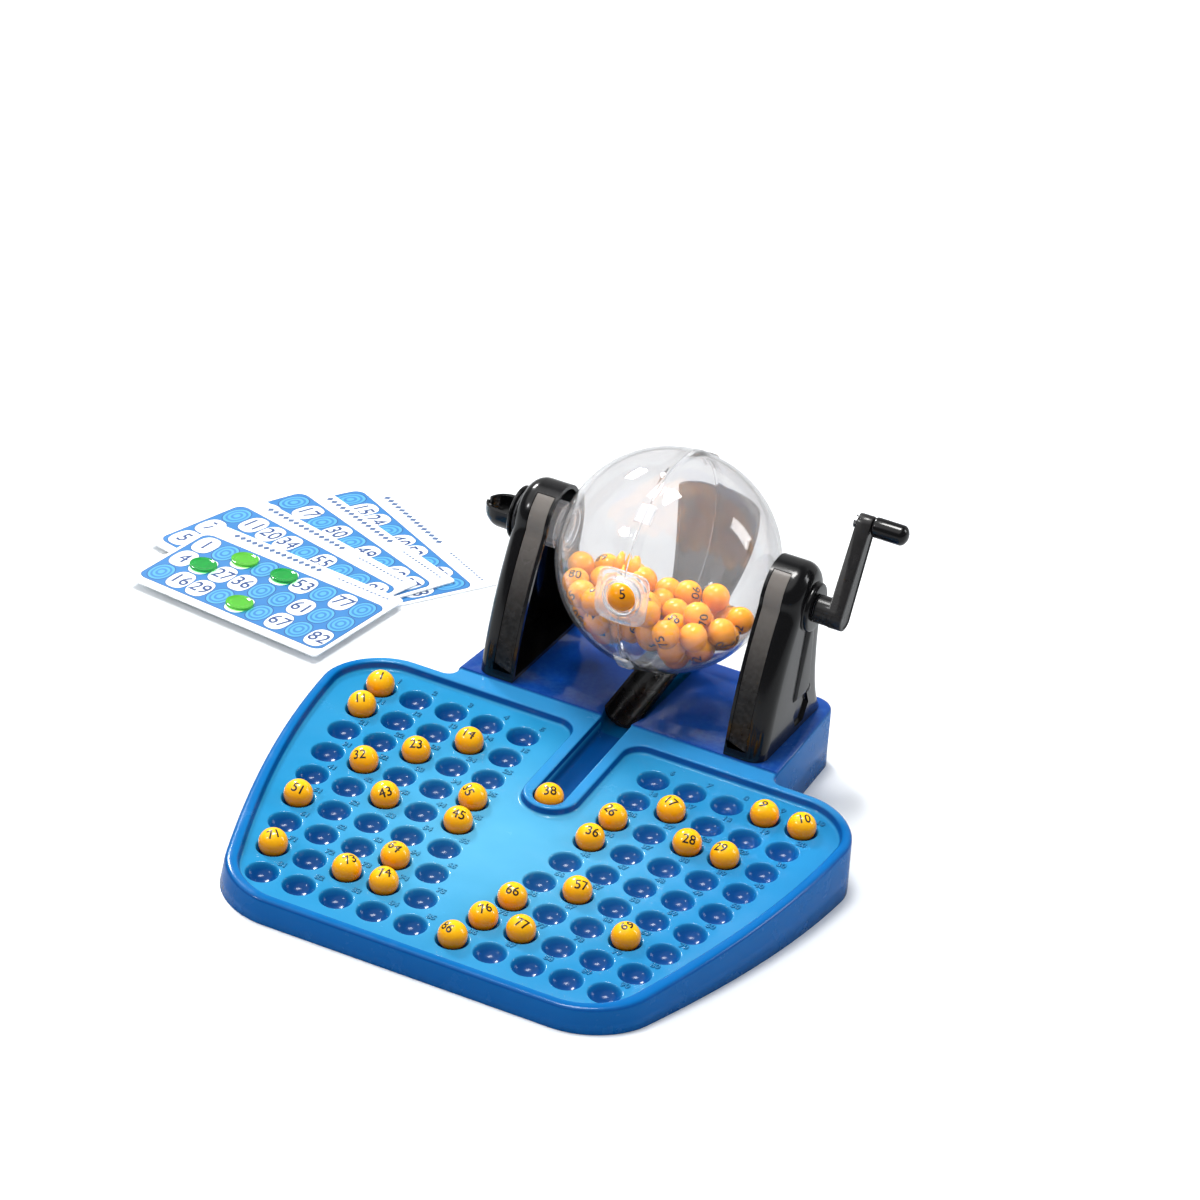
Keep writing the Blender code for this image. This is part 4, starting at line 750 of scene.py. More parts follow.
def fillBetween(bm, rings):
    edges = []
    for ring in rings:
        for index, vertex in enumerate(ring):
            after = ring[(index + 1) % len(ring)]
            edges.append(bm.edges.get((vertex, after)) or bm.edges.new((vertex, after)))
    bmesh.ops.triangle_fill(bm, edges=edges, use_beauty=True, use_dissolve=False)


def stepEnds(vertices):
    near = sorted(vertices, key=lambda v: abs(v.co.y - layout["stepY"] - tray["deckStepRun"] / 2))[:2]
    return sorted(near, key=lambda v: v.co.x)


def turnedToStep(vertices):
    left, right = stepEnds(vertices)
    first, second = vertices.index(left), vertices.index(right)
    start = second if (first + 1) % len(vertices) == second else first
    return [vertices[(start + k) % len(vertices)] for k in range(len(vertices))]


def buildTray():
    bm = bmesh.new()
    rims = []
    for x, y in allPits():
        rings = [ringOf(bm, [(x + a, y + b, floorHeight(y + b) - depth)
                             for a, b in circlePoints(radius, tray["pitSides"])])
                 for radius, depth in tray["pitRings"]]
        skinRings(bm, rings)
        bm.faces.new(rings[-1])
        rims.append(rings[0])
    base = floorLoop()
    walls = [ringOf(bm, [(x, y, floorHeight(y) + up) for x, y in offsetLoop(base, outwards)])
             for outwards, up in tray["wallRings"]]
    skinRings(bm, walls)
    fillBetween(bm, [walls[0]] + rims)

    outer = rimLoop()
    heights = [landHeight(point) for point in outer]
    edges = []
    for inwards, down in tray["edgeRings"]:
        loop = offsetLoop(outer, -inwards)
        edges.append(ringOf(bm, [(x, y, z - down) for (x, y), z in zip(loop, heights)]))
    foot = offsetLoop(outer, tray["skirtDraft"])
    edgeDrop = tray["edgeRings"][-1][1]
    for share in (0.5, 1.0):
        loop = [(x + (fx - x) * share, y + (fy - y) * share) for (x, y), (fx, fy) in zip(outer, foot)]
        edges.append(ringOf(bm, [(x, y, (z - edgeDrop) * (1 - share) + tray["footLift"])
                                 for (x, y), z in zip(loop, heights)]))
    # below its round edge the skirt has its own colour
    rounded = len(tray["edgeRings"]) - 1
    skinRings(bm, edges[:rounded])
    count = len(bm.faces)
    skinRings(bm, edges[rounded - 1:])
    bm.faces.ensure_lookup_table()
    for face in bm.faces[count:]:
        face.material_index = 1

    slot = slotLoop()
    slotHeights = [landHeight(point) for point in slot]
    slots = []
    for outwards, down in tray["slotRings"]:
        loop = offsetLoop(slot, outwards)
        slots.append(ringOf(bm, [(x, y, z - down) for (x, y), z in zip(loop, slotHeights)]))
    for inwards, up in tray["slotFoot"]:
        loop = offsetLoop(slot, -inwards)
        slots.append(ringOf(bm, [(x, y, rimTop(y) - tray["channelDepth"] + up) for x, y in loop]))
    skinRings(bm, slots)
    bm.faces.new(slots[-1])

    stepLine = layout["stepY"] + tray["deckStepRun"] / 2
    low = [v for v in edges[0] if v.co.y < stepLine]
    high = [v for v in edges[0] if v.co.y > stepLine]
    slotLow = [v for v in slots[0] if v.co.y < stepLine]
    slotHigh = [v for v in slots[0] if v.co.y > stepLine]
    fillBetween(bm, [walls[-1], turnedToStep(low) + turnedToStep(slotLow)[::-1]])
    holes = []
    halfX, halfY = tray["tabSlot"][0] / 2, tray["tabSlot"][1] / 2
    for side in (-1, 1):
        for end in (-1, 1):
            x, y = side * stand["middleX"], axleY + end * tray["tabSpread"]
            holes.append(ringOf(bm, [(*point, layout["deckHeight"]) for point in rectangle(halfX, halfY, x, y)]))
    fillBetween(bm, [turnedToStep(high) + turnedToStep(slotHigh)[::-1]] + holes)
    for side in (0, 1):
        bm.faces.new((stepEnds(low)[side], stepEnds(slotLow)[side], stepEnds(slotHigh)[side], stepEnds(high)[side]))
    bmesh.ops.recalc_face_normals(bm, faces=bm.faces)
    if sum(face.normal.z * face.calc_area() for face in bm.faces if abs(face.normal.z) > 0.7) < 0:
        bmesh.ops.reverse_faces(bm, faces=bm.faces)
    thing = makePiece("trayShell", bm, [trayBlue, traySkirt], "base", ["base_tray"], 50, recalc=False)
    solidify = thing.modifiers.new("wall", "SOLIDIFY")
    solidify.thickness = tray["wall"]
    solidify.offset = -1
    solidify.use_even_offset = False
    return thing


stand = {
    "innerX": 0.0525, "width": 0.0186, "wall": 0.002, "middleX": 0.0618, "footZ": 0.0303,
    "archRadius": 0.0172, "archForward": 0.0015, "archRise": 0.003,
    "frontReach": 0.0376, "frontBend": 0.0345, "frontBendDrop": 0.0270,
    "backReach": 0.0335, "backBend": 0.0170, "backBendDrop": 0.0480, "flankSteps": 20, "archSteps": 22,
    "rounding": 0.0075, "planCorner": 0.005, "tail": 0.03, "panelInset": 0.0007, "panelFoot": 0.0030,
    "panelTop": radians(118), "panelBorder": 0.0014, "panelMargin": 0.0003, "panelRaise": 0.0004,
    "panelSink": 0.0002, "panelEdge": 0.00015,
    "bossRadius": 0.0115, "bossHeight": 0.0022, "spineTop": 0.0032, "spineBase": 0.0080, "spineHeight": 0.0014,
    "windowRadius": 0.0085, "windowDepth": 0.0014, "windowBack": 0.003, "windowHeight": 0.0105,
    "pegRadius": 0.0022, "pegHeight": 0.0016, "pegBack": 0.0065, "pegRise": 0.0205,
    "tabWidth": 0.009, "tabThickness": 0.0024, "tabDrop": 0.0034, "tabHook": 0.0008, "tabRoot": 0.001,
}
outerX = stand["innerX"] + stand["width"]
buildTray()
print("tray made")


# Raised and printed numbers, drawn once for each text and kept for reuse
numberStore = {}
boldness = 0.014


def embolden(bm, reach):
    # each point of the outline moves outwards, and the strokes get wider on both sides
    places = {}
    for vert in bm.verts:
        ways = []
        for edge in vert.link_edges:
            if len(edge.link_faces) == 1:
                along = (edge.verts[1].co - edge.verts[0].co).normalized()
                across = Vector((along.y, -along.x, 0))
                inwards = edge.link_faces[0].calc_center_median() - edge.verts[0].co
                ways.append(across if across.dot(inwards) < 0 else -across)
        if len(ways) == 2:
            places[vert] = vert.co + (ways[0] + ways[1]) * (reach / max(1 + ways[0].dot(ways[1]), 0.3))
    for vert, place in places.items():
        vert.co = place


def numberShape(text, size, thickness=0.0, grid=0.0):
    key = (text, size, thickness, grid)
    if key not in numberStore:
        curve = bpy.data.curves.new("number", "FONT")
        curve.body = text
        curve.size = size
        curve.align_x = "CENTER"
        curve.align_y = "CENTER"
        curve.offset = size * boldness if thickness else 0.0
        curve.extrude = thickness / 2
        curve.bevel_depth = thickness / 5
        curve.bevel_resolution = 1
        curve.resolution_u = 3
        thing = newObject("number", curve)
        bpy.context.view_layer.update()
        graph = bpy.context.evaluated_depsgraph_get()
        bm = bmesh.new()
        bm.from_mesh(thing.evaluated_get(graph).to_mesh())
        bpy.data.objects.remove(thing, do_unlink=True)
        bmesh.ops.remove_doubles(bm, verts=bm.verts, dist=size * (1e-4 if thickness else 3e-3))
        if not thickness:
            embolden(bm, size * boldness)
        if grid:
            reach = size * 1.4
            for axis in (Vector((1, 0, 0)), Vector((0, 1, 0))):
                place = -reach
                while place < reach:
                    bmesh.ops.bisect_plane(bm, geom=bm.verts[:] + bm.edges[:] + bm.faces[:],
                                           plane_co=axis * place, plane_no=axis)
                    place += grid
        bmesh.ops.triangulate(bm, faces=bm.faces)
        bm.verts.index_update()
        numberStore[key] = ([v.co.copy() for v in bm.verts], [[v.index for v in f.verts] for f in bm.faces])
        bm.free()
    return numberStore[key]


def addShape(bm, shape, placed, materialIndex=0):
    # placed: turns each point of the shape into its place in the piece
    points, faces = shape
    made = [bm.verts.new(placed(point)) for point in points]
    for face in faces:
        new = bm.faces.new([made[index] for index in face])
        new.material_index = materialIndex


# Small raised numbers beside the pits
pitNumbers = {"size": 0.0042, "right": 0.0052, "back": 0.0089, "raised": 0.0005, "sunk": 0.0001}


def buildPitNumbers():
    bm = bmesh.new()
    for index, (x, y) in enumerate(allPits()):
        shape = numberShape(str(index + 1), pitNumbers["size"], pitNumbers["raised"])
        centreX, centreY = x + pitNumbers["right"], y + pitNumbers["back"]

        def placed(point, centreX=centreX, centreY=centreY):
            atY = centreY + point.y
            return (centreX + point.x, atY, floorHeight(atY) + point.z + pitNumbers["sunk"])
        addShape(bm, shape, placed)
    return makePiece("pitNumbers", bm, [pitNumberBlue], "base", (), 30, recalc=False)


buildPitNumbers()
print("pit numbers made")


# The stands: moulded in one piece, open towards the globe
def curvePoints(start, bend, end, steps):
    points = []
    for k in range(steps + 1):
        share = k / steps
        rest = 1 - share
        points.append(tuple(rest * rest * a + 2 * rest * share * b + share * share * c
                            for a, b, c in zip(start, bend, end)))
    return points


def standFlank(direction):
    side = "front" if direction < 0 else "back"
    start = (axleY - stand["archForward"] + direction * stand["archRadius"], axleHeight + stand["archRise"])
    return curvePoints(start, (axleY + direction * stand[side + "Bend"], axleHeight - stand[side + "BendDrop"]),
                       (axleY + direction * stand[side + "Reach"], stand["footZ"]), stand["flankSteps"])


def standProfile():
    # both flanks run on below the foot, where the stand is cut off flat
    centre = (axleY - stand["archForward"], axleHeight + stand["archRise"])
    arch = arcPoints(centre, stand["archRadius"], 0.0, pi, stand["archSteps"])
    back, front = standFlank(1), standFlank(-1)
    tails = []
    for flank in (back, front):
        last, before = Vector(flank[-1]), Vector(flank[-2])
        tails.append(tuple(last + (last - before).normalized() * stand["tail"]))
    return [tails[0]] + back[:0:-1] + arch + front[1:] + [tails[1]]


def panelPath():
    # the front line of the stand, from over the bend of the arch down to near the foot
    low = layout["deckHeight"] + stand["panelFoot"]
    centre = (axleY - stand["archForward"], axleHeight + stand["archRise"])
    arch = arcPoints(centre, stand["archRadius"], stand["panelTop"], pi, 12)
    flank = [point for point in standFlank(-1)[1:] if point[1] > low]
    return arch + flank


def besidePath(points, distance):
    # the open line moved sideways, outwards from the stand when the distance is above zero
    moved = []
    for index, here in enumerate(points):
        before, after = points[max(index - 1, 0)], points[min(index + 1, len(points) - 1)]
        way = Vector((after[0] - before[0], after[1] - before[1])).normalized()
        moved.append((here[0] + way.y * distance, here[1] - way.x * distance))
    return moved


def panelEnds(side):
    inner = side * (stand["innerX"] + stand["panelBorder"])
    outer = side * (outerX - stand["rounding"] - stand["panelInset"])
    return inner, outer


def buildPanelCutter(side):
    path = panelPath()
    inner, outer = panelEnds(side)
    return prismX(besidePath(path, -stand["panelInset"]) + besidePath(path, overshoot)[::-1], inner, outer)


def buildStandPanel(name, side):
    # the paler inlay that lies in the front recess
    path = panelPath()
    inner, outer = panelEnds(side)
    margin = stand["panelMargin"]
    for end, beside in ((0, 1), (-1, -2)):
        here = Vector(path[end])
        path[end] = tuple(here + (Vector(path[beside]) - here).normalized() * margin)
    inner, outer = inner + side * margin, outer - side * margin
    outline = besidePath(path, -stand["panelInset"] + stand["panelRaise"])
    outline += besidePath(path, -stand["panelInset"] - stand["panelSink"])[::-1]
    bm = softenEdges(prismX(outline, inner, outer), stand["panelEdge"], 2, 50)
    return makePiece(name, bm, [plastics["standPanelGrey"]], "base", (), 30)


def buildSpine(side):
    sunk = side * (outerX - stand["wall"] / 2)
    raised = side * (outerX + stand["spineHeight"])
    topZ = axleHeight - stand["bossRadius"] / 2
    baseZ = layout["deckHeight"] + stand["windowHeight"] + stand["windowRadius"]
    rise = stand["spineHeight"]
    bm = bmesh.new()
    rings = []
    for x, shrink in ((sunk, 0.0), (raised - side * rise * 0.9, 0.0), (raised - side * rise * 0.2, rise * 0.9),
                      (raised, rise * 1.6)):
        rings.append(ringOf(bm, [(x, axleY - stand["spineBase"] + shrink, baseZ + shrink),
                                 (x, axleY + stand["spineBase"] - shrink, baseZ + shrink),
                                 (x, axleY + stand["spineTop"] - shrink, topZ),
                                 (x, axleY - stand["spineTop"] + shrink, topZ)]))
    skinRings(bm, rings, capped=True)
    return bm


def buildTabs(side):
    hookTop = layout["deckHeight"] - tray["wall"] - runningGap
    foot, root = hookTop - stand["tabDrop"], stand["footZ"] + stand["tabRoot"]
    bm = bmesh.new()
    for end in (-1, 1):
        x, y = side * stand["middleX"], axleY + end * tray["tabSpread"]
        near, far = x - side * stand["tabThickness"] / 2, x + side * stand["tabThickness"] / 2
        tip = far + side * stand["tabHook"]
        section = [(near, foot), (far, foot), (tip, foot + stand["tabDrop"] / 2), (tip, hookTop), (far, hookTop),
                   (far, root), (near, root)]
        tab = bmesh.new()
        ends = [ringOf(tab, [(a, y + part * stand["tabWidth"] / 2, b) for a, b in section]) for part in (-1, 1)]
        skinRings(tab, ends, capped=True)
        bmesh.ops.recalc_face_normals(tab, faces=tab.faces)
        joinInto(bm, tab)
    return bm


def roundRimmed(profile, innerX, outer, rounding):
    # a slab along X whose outer rim turns over in a round, ring by ring
    side = 1 if outer > innerX else -1
    bm = bmesh.new()
    rings = [ringOf(bm, [(innerX, y, z) for y, z in profile])]
    steps = 9
    for k in range(steps + 1):
        angle = pi / 2 * k / steps
        x = outer - side * rounding * (1 - sin(angle))
        rings.append(ringOf(bm, [(x, y, z) for y, z in offsetLoop(profile, -rounding * (1 - cos(angle)))]))
    skinRings(bm, rings, capped=True)
    return bm


def buildStand(name, node, side, boreRadius):
    innerX = side * stand["innerX"]
    outer = side * outerX
    profile = standProfile()
    bm = roundRimmed(profile, innerX, outer, stand["rounding"])
    frontY, backY = axleY - stand["frontReach"], axleY + stand["backReach"]
    openX = innerX - side * overshoot
    plan = roundCorners([(openX, frontY - overshoot, 0.0), (openX, backY + overshoot, 0.0),
                         (outer, backY, stand["planCorner"]), (outer, frontY, stand["planCorner"])], 10)
    hollow = roundRimmed(offsetLoop(profile, -stand["wall"]), openX, outer - side * stand["wall"],
                         stand["rounding"] - stand["wall"])
    around = [(innerX - side * 0.006, frontY - 0.01), (innerX - side * 0.006, backY + 0.01),
              (outer + side * overshoot, backY + 0.01), (outer + side * overshoot, frontY - 0.01)]
    hollow = carve(hollow, [("INTERSECT", prismZ(around, stand["footZ"] + stand["wall"], axleHeight + 0.04))])
    bossX = side * (outerX + stand["bossHeight"])
    sunk = side * (outerX - stand["wall"] / 2)
    bossRadius, bossHeight = stand["bossRadius"], stand["bossHeight"]
    boss = turnedX([(sunk, bossRadius + 0.0006), (outer, bossRadius + 0.0006), (outer + side * 0.0004, bossRadius),
                    (bossX - side * bossHeight * 0.5, bossRadius), (bossX - side * bossHeight * 0.2, bossRadius * 0.97),
                    (bossX - side * bossHeight * 0.05, bossRadius * 0.93), (bossX, bossRadius * 0.88)], 40)
    windowCentre = (axleY + stand["windowBack"], layout["deckHeight"] + stand["windowHeight"])
    window = turnedX([(side * (outerX - stand["windowDepth"]), stand["windowRadius"] * 0.92),
                      (side * (outerX - stand["windowDepth"] * 0.3), stand["windowRadius"]),
                      (side * (outerX + overshoot), stand["windowRadius"])], 6, windowCentre)
    peg = turnedX([(sunk, stand["pegRadius"]), (side * (outerX + stand["pegHeight"] * 0.6), stand["pegRadius"]),
                   (side * (outerX + stand["pegHeight"] * 0.9), stand["pegRadius"] * 0.75),
                   (side * (outerX + stand["pegHeight"]), stand["pegRadius"] * 0.4)], 20,
                  (axleY + stand["pegBack"], layout["deckHeight"] + stand["pegRise"]))
    bore = turnedX([(openX, boreRadius), (side * (outerX + bossHeight + overshoot), boreRadius)], 32)
    solid = carve(bm, [("INTERSECT", prismZ(plan, stand["footZ"], axleHeight + 0.025)),
                       ("DIFFERENCE", hollow), ("DIFFERENCE", buildPanelCutter(side)),
                       ("UNION", buildSpine(side)), ("UNION", boss), ("DIFFERENCE", window), ("UNION", peg),
                       ("UNION", buildTabs(side)), ("DIFFERENCE", bore)])
    thing = makePiece(name, solid, [plastics["glossBlack"]], "base", [node], 32)
    return softEdge(thing, 0.00035, 40, harden=True)


bushWall, runningGap = 0.002, 0.0003
tubeBore, tubeWall, shaftRadius = 0.0073, 0.0015, 0.0038
tubeRadius = tubeBore + tubeWall
buildStand("standLeft", "left_stand", -1, tubeRadius + 2 * runningGap + bushWall)
buildStand("standRight", "right_stand", 1, shaftRadius + 2 * runningGap + bushWall)
buildStandPanel("standPanelLeft", -1)
buildStandPanel("standPanelRight", 1)
print("stands made")


# The clear globe in two halves, its port collar and the four seam clips
globe = {
    "radius": 0.051, "wall": 0.0015, "seamGap": 0.0001, "lipWidth": 0.0032, "lipHeight": 0.0005, "hubLength": 0.0027,
    "sides": 96, "rings": 26, "collarBore": 0.0069, "collarWall": 0.0014, "collarLength": 0.005, "collarRim": 0.0009,
    "exitAngle": radians(4), "clipShares": (0.133, 0.383, 0.633, 0.883), "clipWidth": 0.0085, "clipLength": 0.009,
    "clipHeight": 0.0014, "flangeHalf": 0.0125, "flangeSquare": 4.5, "flangeHeight": 0.0012,
    "flangeLift": 0.0001, "ribs": 8, "ribDepth": 0.7,
}
globeInner = globe["radius"] - globe["wall"]
hubEndX = globe["radius"] + globe["hubLength"] - globe["wall"]
portWay = Vector((0.0, -cos(globe["exitAngle"]), sin(globe["exitAngle"])))


def portFrame(reach):
    turn = portWay.to_track_quat("Z", "Y").to_matrix().to_4x4()
    return Matrix.Translation(globeCentre + portWay * reach) @ turn


def buildGlobeHalf(name, node, side, hubBore):
    radius = globe["radius"]
    outerHub = hubBore + bushWall
    seamX = globe["seamGap"] / 2
    lipX = seamX + globe["lipWidth"]
    lipTop = radius + globe["lipHeight"]
    swell = [(k / 8, cos(pi / 2 * k / 8) ** 2) for k in range(8)]
    outer = [(seamX + globe["lipWidth"] * share, radius + (lipTop - radius) * height) for share, height in swell]
    inner = [(seamX, sqrt(globeInner ** 2 - seamX ** 2))]
    outerStart, outerStop = acos(lipX / radius), asin((outerHub + 0.0012) / radius)
    innerStart, innerStop = acos(seamX / globeInner), asin(outerHub / globeInner)
    for k in range(globe["rings"] + 1):
        share = k / globe["rings"]
        angle = outerStart + (outerStop - outerStart) * share
        outer.append((radius * cos(angle), radius * sin(angle)))
        angle = innerStart + (innerStop - innerStart) * share
        if k:
            inner.append((globeInner * cos(angle), globeInner * sin(angle)))
    poleX = radius * cos(outerStop)
    outer += [(poleX + 0.0003, outerHub + 0.0004), (poleX + 0.0010, outerHub), (hubEndX - 0.0004, outerHub),
              (hubEndX, outerHub - 0.0004), (hubEndX, hubBore)]
    inner += [(inner[-1][0], hubBore)]
    bm = sleeveX([(side * x, r) for x, r in outer], [(side * x, r) for x, r in inner], globe["sides"])
    hole = prismZ(circlePoints(globe["collarBore"] + globe["collarWall"] + runningGap, 40), 0.0, 0.008)
    bmesh.ops.transform(hole, matrix=portFrame(globeInner - overshoot), verts=hole.verts)
    solid = carve(bm, [("DIFFERENCE", hole)])
    return makePiece(name, solid, [clears["clearGlobe"]], "globe", [node], 30)


def buildCollar():
    outerRadius = globe["collarBore"] + globe["collarWall"]
    start = globeInner - globe["collarLength"]
    seat = sqrt(globe["radius"] ** 2 - outerRadius ** 2) + globe["collarRim"]
    bore = globe["collarBore"]
    section = [(start, outerRadius - 0.0003), (start + 0.0003, outerRadius), (seat - 0.0004, outerRadius),
               (seat - 0.0001, outerRadius - 0.0002), (seat, outerRadius - 0.0005), (seat - 0.0001, bore + 0.0002),
               (seat - 0.0005, bore), (start + 0.0014, bore), (start + 0.0002, bore + 0.0007)]
    bm = bmesh.new()
    rings = [ringOf(bm, [(a, b, reach) for a, b in circlePoints(size, 48)]) for reach, size in section]
    skinRings(bm, rings + rings[:1])
    bmesh.ops.transform(bm, matrix=portFrame(0.0), verts=bm.verts)
    return makePiece("portCollar", bm, [clears["clearFitting"]], "globe", ["exit_collar"], 40)


def buildFlange():
    # the sparkling square plate round the port, laid on the globe
    hole = globe["collarBore"] + globe["collarWall"] + runningGap
    square = globe["flangeSquare"]
    section = [(0.0, 0.0002), (0.0, 1.0), (0.12, 1.0), (0.22, 0.35), (0.4, 0.3), (0.62, 0.4), (0.76, 0.95), (0.86, 1.0),
               (0.96, 0.7), (1.0, 0.25), (1.0, 0.0002)]
    bm = bmesh.new()
    rings = []
    for share, height in section:
        points = []
        for k in range(96):
            angle = 2 * pi * k / 96
            edge = globe["flangeHalf"] / (abs(cos(angle)) ** square + abs(sin(angle)) ** square) ** (1 / square)
            reach = hole + (edge - hole) * share
            rib = 1 + globe["ribDepth"] * cos(globe["ribs"] * angle) * sin(pi * share)
            lift = globe["flangeLift"] + globe["flangeHeight"] * min(height * rib, 1.0)
            flat = Vector((reach * cos(angle), reach * sin(angle), sqrt(globe["radius"] ** 2 - reach ** 2)))
            points.append(flat * (1 + lift / globe["radius"]))
        rings.append(ringOf(bm, points))
    skinRings(bm, rings + rings[:1])
    bmesh.ops.transform(bm, matrix=portFrame(0.0), verts=bm.verts)
    return makePiece("portFlange", bm, [clears["clearFitting"]], "globe", (), 40)


def buildClips():
    low = globe["radius"] + globe["lipHeight"] + runningGap
    high = low + globe["clipHeight"]
    halfWidth, halfLength = globe["clipWidth"] / 2, globe["clipLength"] / 2
    hook = globe["lipWidth"] + globe["seamGap"] / 2 + runningGap
    hookLow = globe["radius"] + runningGap
    section = [(-halfWidth, hookLow), (-hook, hookLow), (-hook, low), (hook, low), (hook, hookLow),
               (halfWidth, hookLow), (halfWidth - globe["clipHeight"], high), (globe["clipHeight"] - halfWidth, high)]
    bm = bmesh.new()
    steps = 8
    for share in globe["clipShares"]:
        clip = bmesh.new()
        rings = []
        for k in range(steps + 1):
            turn = 2 * pi * share + (2 * k / steps - 1) * asin(halfLength / globe["radius"])
            way = Vector((0.0, -cos(turn), sin(turn)))
            rings.append(ringOf(clip, [globeCentre + Vector((x, 0.0, 0.0)) + way * r for x, r in section]))
        skinRings(clip, rings, capped=True)
        bmesh.ops.recalc_face_normals(clip, faces=clip.faces)
        softenEdges(clip, 0.0002, 2)
        joinInto(bm, clip)
    nodes = ["seam_clip_" + str(index + 1) for index in range(len(globe["clipShares"]))]
    return makePiece("seamClips", bm, [clears["clearFitting"]], "globe", nodes, 40)


buildGlobeHalf("globeLeft", "globe_left_half", -1, tubeRadius + runningGap)
buildGlobeHalf("globeRight", "globe_right_half", 1, shaftRadius + runningGap)
buildCollar()
buildFlange()
buildClips()
print("globe made")


# The loading cup on the left stand: a half bowl whose throat meets the filler tube
cup = {
    "length": 0.017, "wall": 0.0014, "rise": 0.002, "sides": 22, "domeSteps": 9, "gap": 0.0003,
    "flangeRadius": 0.0125, "flangeHeight": 0.0016, "edge": 0.0004,
}


def cupSection(bm, x, radius, share):
    points = []
    for k in range(cup["sides"] + 1):
        angle = pi + pi * k / cup["sides"]
        points.append((x, axleY + radius * share * cos(angle), axleHeight + radius * share * sin(angle)))
    for end in (0, -1):
        points[end] = (x, points[end][1], axleHeight + cup["rise"])
    return ringOf(bm, points)


def buildCup():
    startX = -(outerX + stand["bossHeight"] + cup["gap"])
    flangeX = startX - cup["flangeHeight"]
    bodyEnd = startX - cup["length"] + tubeRadius
    stations = [(startX, 1.0), (bodyEnd, 1.0)]
    for k in range(1, cup["domeSteps"] + 1):
        angle = pi / 2 * k / (cup["domeSteps"] + 1)
        stations.append((bodyEnd - tubeRadius * sin(angle), cos(angle)))
    bm = bmesh.new()
    outer, inner = [], []
    for x, share in stations:
        inward = cup["wall"] * (1 - share) * (bodyEnd - x) / tubeRadius
        outer.append(cupSection(bm, x, tubeRadius + cup["wall"] / 2, share))
        inner.append(cupSection(bm, x + inward, tubeBore, share))
    thickSheet(bm, outer, inner)
    edge = cup["edge"]
    radius = cup["flangeRadius"]
    outside = [(startX, radius - edge), (startX - edge, radius), (flangeX + edge, radius), (flangeX, radius - edge)]
    inside = [(startX, tubeBore), (flangeX + edge, tubeBore), (flangeX, tubeBore + edge)]
    solid = carve(bm, [("UNION", sleeveX(outside, inside, 40))])
    thing = makePiece("loadingCup", solid, [plastics["glossBlack"]], "base", ["loading_cup"], 40)
    return softEdge(thing, 0.0003, 45)


buildCup()


# The crank: flat bar, boss towards the stand, loose knob with a domed end
crank = {
    "angle": radians(25.5), "length": 0.042, "width": 0.0088, "thickness": 0.0072, "gap": 0.0068,
    "bossRadius": 0.0068, "edge": 0.0007, "knobRadius": 0.0047, "knobLength": 0.0165, "pinRadius": 0.0019,
    "border": 0.0013, "recess": 0.00035,
}
crankX = outerX + stand["bossHeight"] + crank["gap"]
crankEnd = (axleY + crank["length"] * sin(crank["angle"]), axleHeight + crank["length"] * cos(crank["angle"]))


def buildCrankArm():
    near, far = crankX, crankX + crank["thickness"]
    along = atan2(crankEnd[1] - axleHeight, crankEnd[0] - axleY)
    outline = arcPoints(crankEnd, crank["width"] / 2, along - pi / 2, along + pi / 2, 16)
    outline += arcPoints((axleY, axleHeight), crank["bossRadius"], along + pi / 2 + asin(0.3),
                         along + 3 * pi / 2 - asin(0.3), 22)
    edge = crank["edge"]
    bm = bmesh.new()
    rings = []
    for x, inwards in ((near, edge), (near + edge * 0.3, edge * 0.3), (near + edge, 0.0), (far - edge, 0.0),
                       (far - edge * 0.3, edge * 0.3), (far, edge)):
        rings.append(ringOf(bm, [(x, y, z) for y, z in offsetLoop(outline, -inwards)]))
    skinRings(bm, rings, capped=True)
    # the outer face is set back inside a narrow border
    recess = prismX(offsetLoop(outline, -crank["border"]), far - crank["recess"], far + 0.002)
    boss = turnedX([(near - crank["gap"] + runningGap, crank["bossRadius"] - 0.0009),
                    (near - crank["gap"] + runningGap + 0.0006, crank["bossRadius"] - runningGap),
                    (near + crank["thickness"] / 2, crank["bossRadius"] - runningGap)], 40)
    shaftBore = turnedX([(near - crank["gap"] - overshoot, shaftRadius + runningGap),
                         (near + crank["thickness"] / 2 + runningGap, shaftRadius + runningGap)], 32)
    pinBore = turnedX([(near - overshoot, crank["pinRadius"] + runningGap),
                       (far + overshoot, crank["pinRadius"] + runningGap)],
                      24, crankEnd)
    solid = carve(bm, [("DIFFERENCE", recess), ("UNION", boss), ("DIFFERENCE", shaftBore), ("DIFFERENCE", pinBore)])
    materials = [plastics["armGrey"], plastics["glossBlack"]]
    return makePiece("crankArm", solid, materials, "globe", ["crank_arm"], 32)


def buildCrankKnob():
    start = crankX + crank["thickness"] + runningGap
    radius, length = crank["knobRadius"], crank["knobLength"]
    dome = radius * 0.7
    profile = [(start, radius * 0.80), (start + radius * 0.06, radius * 0.90), (start + radius * 0.15, radius * 0.97),
               (start + radius * 0.3, radius), (start + length * 0.3, radius * 1.0), (start + length - dome, radius)]
    for k in range(1, 12):
        angle = pi / 2 * k / 12
        profile.append((start + length - dome + dome * sin(angle), radius * cos(angle)))
    bore = turnedX([(start - overshoot, crank["pinRadius"] + runningGap),
                    (start + length * 0.7, crank["pinRadius"] + runningGap)], 24, crankEnd)
    solid = carve(turnedX(profile, 40, crankEnd), [("DIFFERENCE", bore)])
    return makePiece("crankKnob", solid, [plastics["glossBlack"]], "crank_knob", ["crank_knob"], 32)


buildCrankArm()
buildCrankKnob()
print("crank made")


